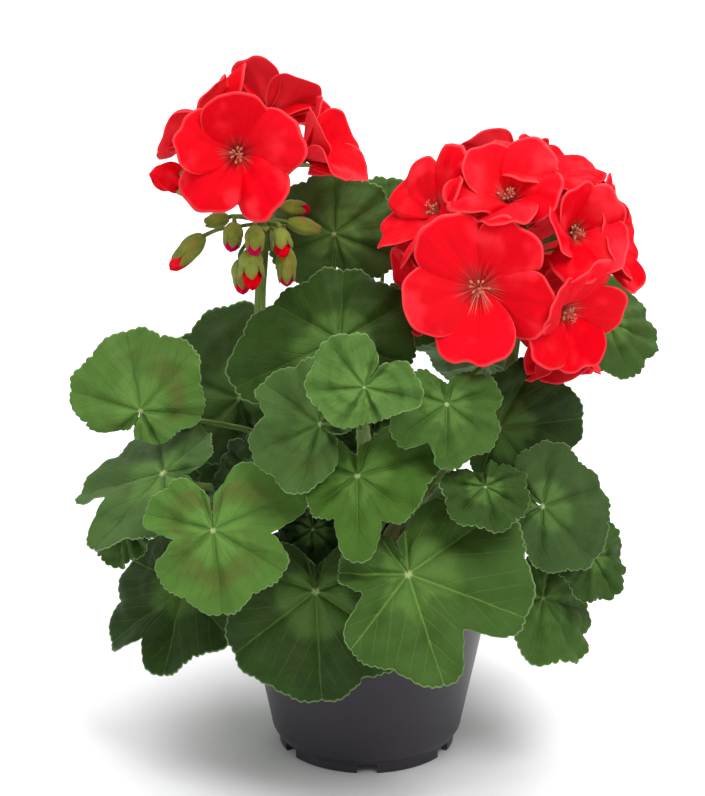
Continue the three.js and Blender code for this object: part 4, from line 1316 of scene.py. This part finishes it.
def grow_mix():
    """Potting mix: a lumpy mound inside the pot, the plug under it, and crumbs of bark and perlite on top."""
    low, high = (np.array(corner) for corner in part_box("potting_mix"))
    outer = high[0]
    solid = Solid("potting_mix")
    radius = np.linalg.norm(solid.points[:, :2], axis=1)
    edge_top = solid.points[radius > outer * 0.99, 2].max()
    bottom_r = radius[np.abs(solid.points[:, 2] - low[2]) < 0.1 * MM].max()

    def mound(share):
        return edge_top + (high[2] - edge_top) * (1 - share ** 1.6)

    share = np.linspace(0, 1, 46)[1:, None]
    sides = 150
    turn = np.linspace(0, 2 * math.pi, sides, endpoint=False)[None, :]
    r = share * (outer - 0.4 * MM)
    x, y = r * np.cos(turn), r * np.sin(turn)
    lumps = waves(x * 400 + 3 * np.sin(y * 300), 5, 4) + waves(y * 430 + 2 * np.sin(x * 350), 6, 4)
    lumps = lumps + 0.7 * waves(x * 1500 + y * 600, 7, 3) * waves(y * 1400 - x * 500, 8, 3)
    top = np.stack([x, y, mound(share) + 0.55 * MM * lumps - 0.3 * MM], -1).reshape(-1, 3)
    lower = np.stack([bottom_r * np.cos(turn[0]), bottom_r * np.sin(turn[0]), np.full(sides, low[2])], -1)
    points = np.concatenate([top, lower, [[0, 0, high[2]]], [[0, 0, low[2]]]])
    total = len(top)
    faces = [
        grid_faces(len(share) + 1, sides, wrap=True)[:, ::-1],
        np.concatenate([
            pole_faces(total + sides, np.arange(sides), wrap=True),
            pole_faces(total + sides + 1, np.arange(total, total + sides), wrap=True, flip=True),
        ]),
    ]
    piece = Piece("potting_mix_crumbly")
    piece.add((points, faces, 0.0, 0.0), POTTING_MIX)
    rng = np.random.default_rng(77)
    bits = 620
    away = np.sqrt(rng.uniform(0.02, 0.98, bits)) * (outer - 3 * MM)
    turn = rng.uniform(0, 2 * math.pi, bits)
    points, *rest = turned([(0, -1), (0.8, -0.55), (1, 0.05), (0.7, 0.6), (0, 0.9)], 6)
    for k in range(bits):
        white = rng.uniform() < 0.16
        size = rng.uniform(0.6, 1.5) * MM if white else rng.uniform(0.6, 2.0) * MM
        stretch = np.array([1, rng.uniform(0.5, 1), rng.uniform(0.3, 0.7)]) * size
        jag = 1 + 0.25 * rng.uniform(-1, 1, (len(points), 1))
        foot = level_way(turn[k]) * away[k] + UP * (mound(away[k] / outer) + 0.25 * size)
        way = unit(UP + rng.normal(0, 0.35, 3))
        crumb = aimed((points * stretch * jag, *rest), foot, way, rng.uniform(0, 6))
        piece.add(crumb, CRUMBS, (1, 1, 1, 1) if white else (0.2, 0.2, 0.2, 1))
    piece.done("potting_mix")


# ---- Growing the whole plant -------------------------------------------------------------------------------

grow_pot()
grow_mix()
grow_stems()
for head in HUBS:
    grow_stalk(head)
for seed, node in enumerate(sorted(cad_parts)):
    if node.startswith("leaf_"):
        grow_leaf(node, 100 + seed)
    elif node.startswith("flower_") and not node.startswith("flower_stalk"):
        grow_flower(node, 300 + seed)
    elif node.startswith("bud_"):
        grow_bud(node, 500 + seed)

# ---- Floor, light and camera -------------------------------------------------------------------------------

FLOOR_LOOK = {"Base Color": (0.86, 0.855, 0.87, 1), "Roughness": 0.9, "Specular IOR Level": 0.1}
floor_mesh = bpy.data.meshes.new("floor")
floor_mesh.from_pydata([(-8, -8, 0), (8, -8, 0), (8, 8, 0), (-8, 8, 0)], [], [(0, 1, 2, 3)])
floor_mesh.materials.append(finish("floor", lambda link: FLOOR_LOOK))
placed("floor", floor_mesh)


def add_light(name, place, size, power):
    """A square soft light that looks at the middle of the plant."""
    light = bpy.data.lights.new(name, "AREA")
    light.size, light.energy = size, power
    lamp = placed(name, light)
    aim = np.array([0, 0, 0.16]) - np.array(place)
    lamp.location = place
    lamp.rotation_euler = (math.acos(-unit(aim)[2]), 0, math.atan2(aim[1], aim[0]) - math.pi / 2)


add_light("window", (0.7, -1.1, 1.7), 0.9, 28)
add_light("fill", (-1.5, -0.9, 0.9), 1.2, 5)
add_light("back", (0.4, 1.4, 1.3), 1.2, 10)
add_light("overhead", (0.0, 0.6, 2.6), 3.0, 80)

world = bpy.data.worlds.new("studio")
world.use_nodes = True
sky = world.node_tree.nodes["Background"].inputs
sky["Color"].default_value, sky["Strength"].default_value = (1, 1, 1, 1), 0.42
bpy.context.scene.world = world
bpy.context.scene.view_settings.view_transform = "Standard"

# The camera looks down on a point in the plant by this pitch, from this far away. Its lens is in millimetres.
PITCH, AWAY, AIM, LENS = math.radians(18.5), 1.3, (-0.0065, 0.0, 0.165), 132.06
camera = placed("camera", bpy.data.cameras.new("camera"))
camera.data.sensor_fit, camera.data.sensor_width, camera.data.lens = "AUTO", 36, LENS
camera.location = (AIM[0], AIM[1] - AWAY * math.cos(PITCH), AIM[2] + AWAY * math.sin(PITCH))
camera.rotation_euler = (math.pi / 2 - PITCH, 0, 0)
bpy.context.scene.camera = camera
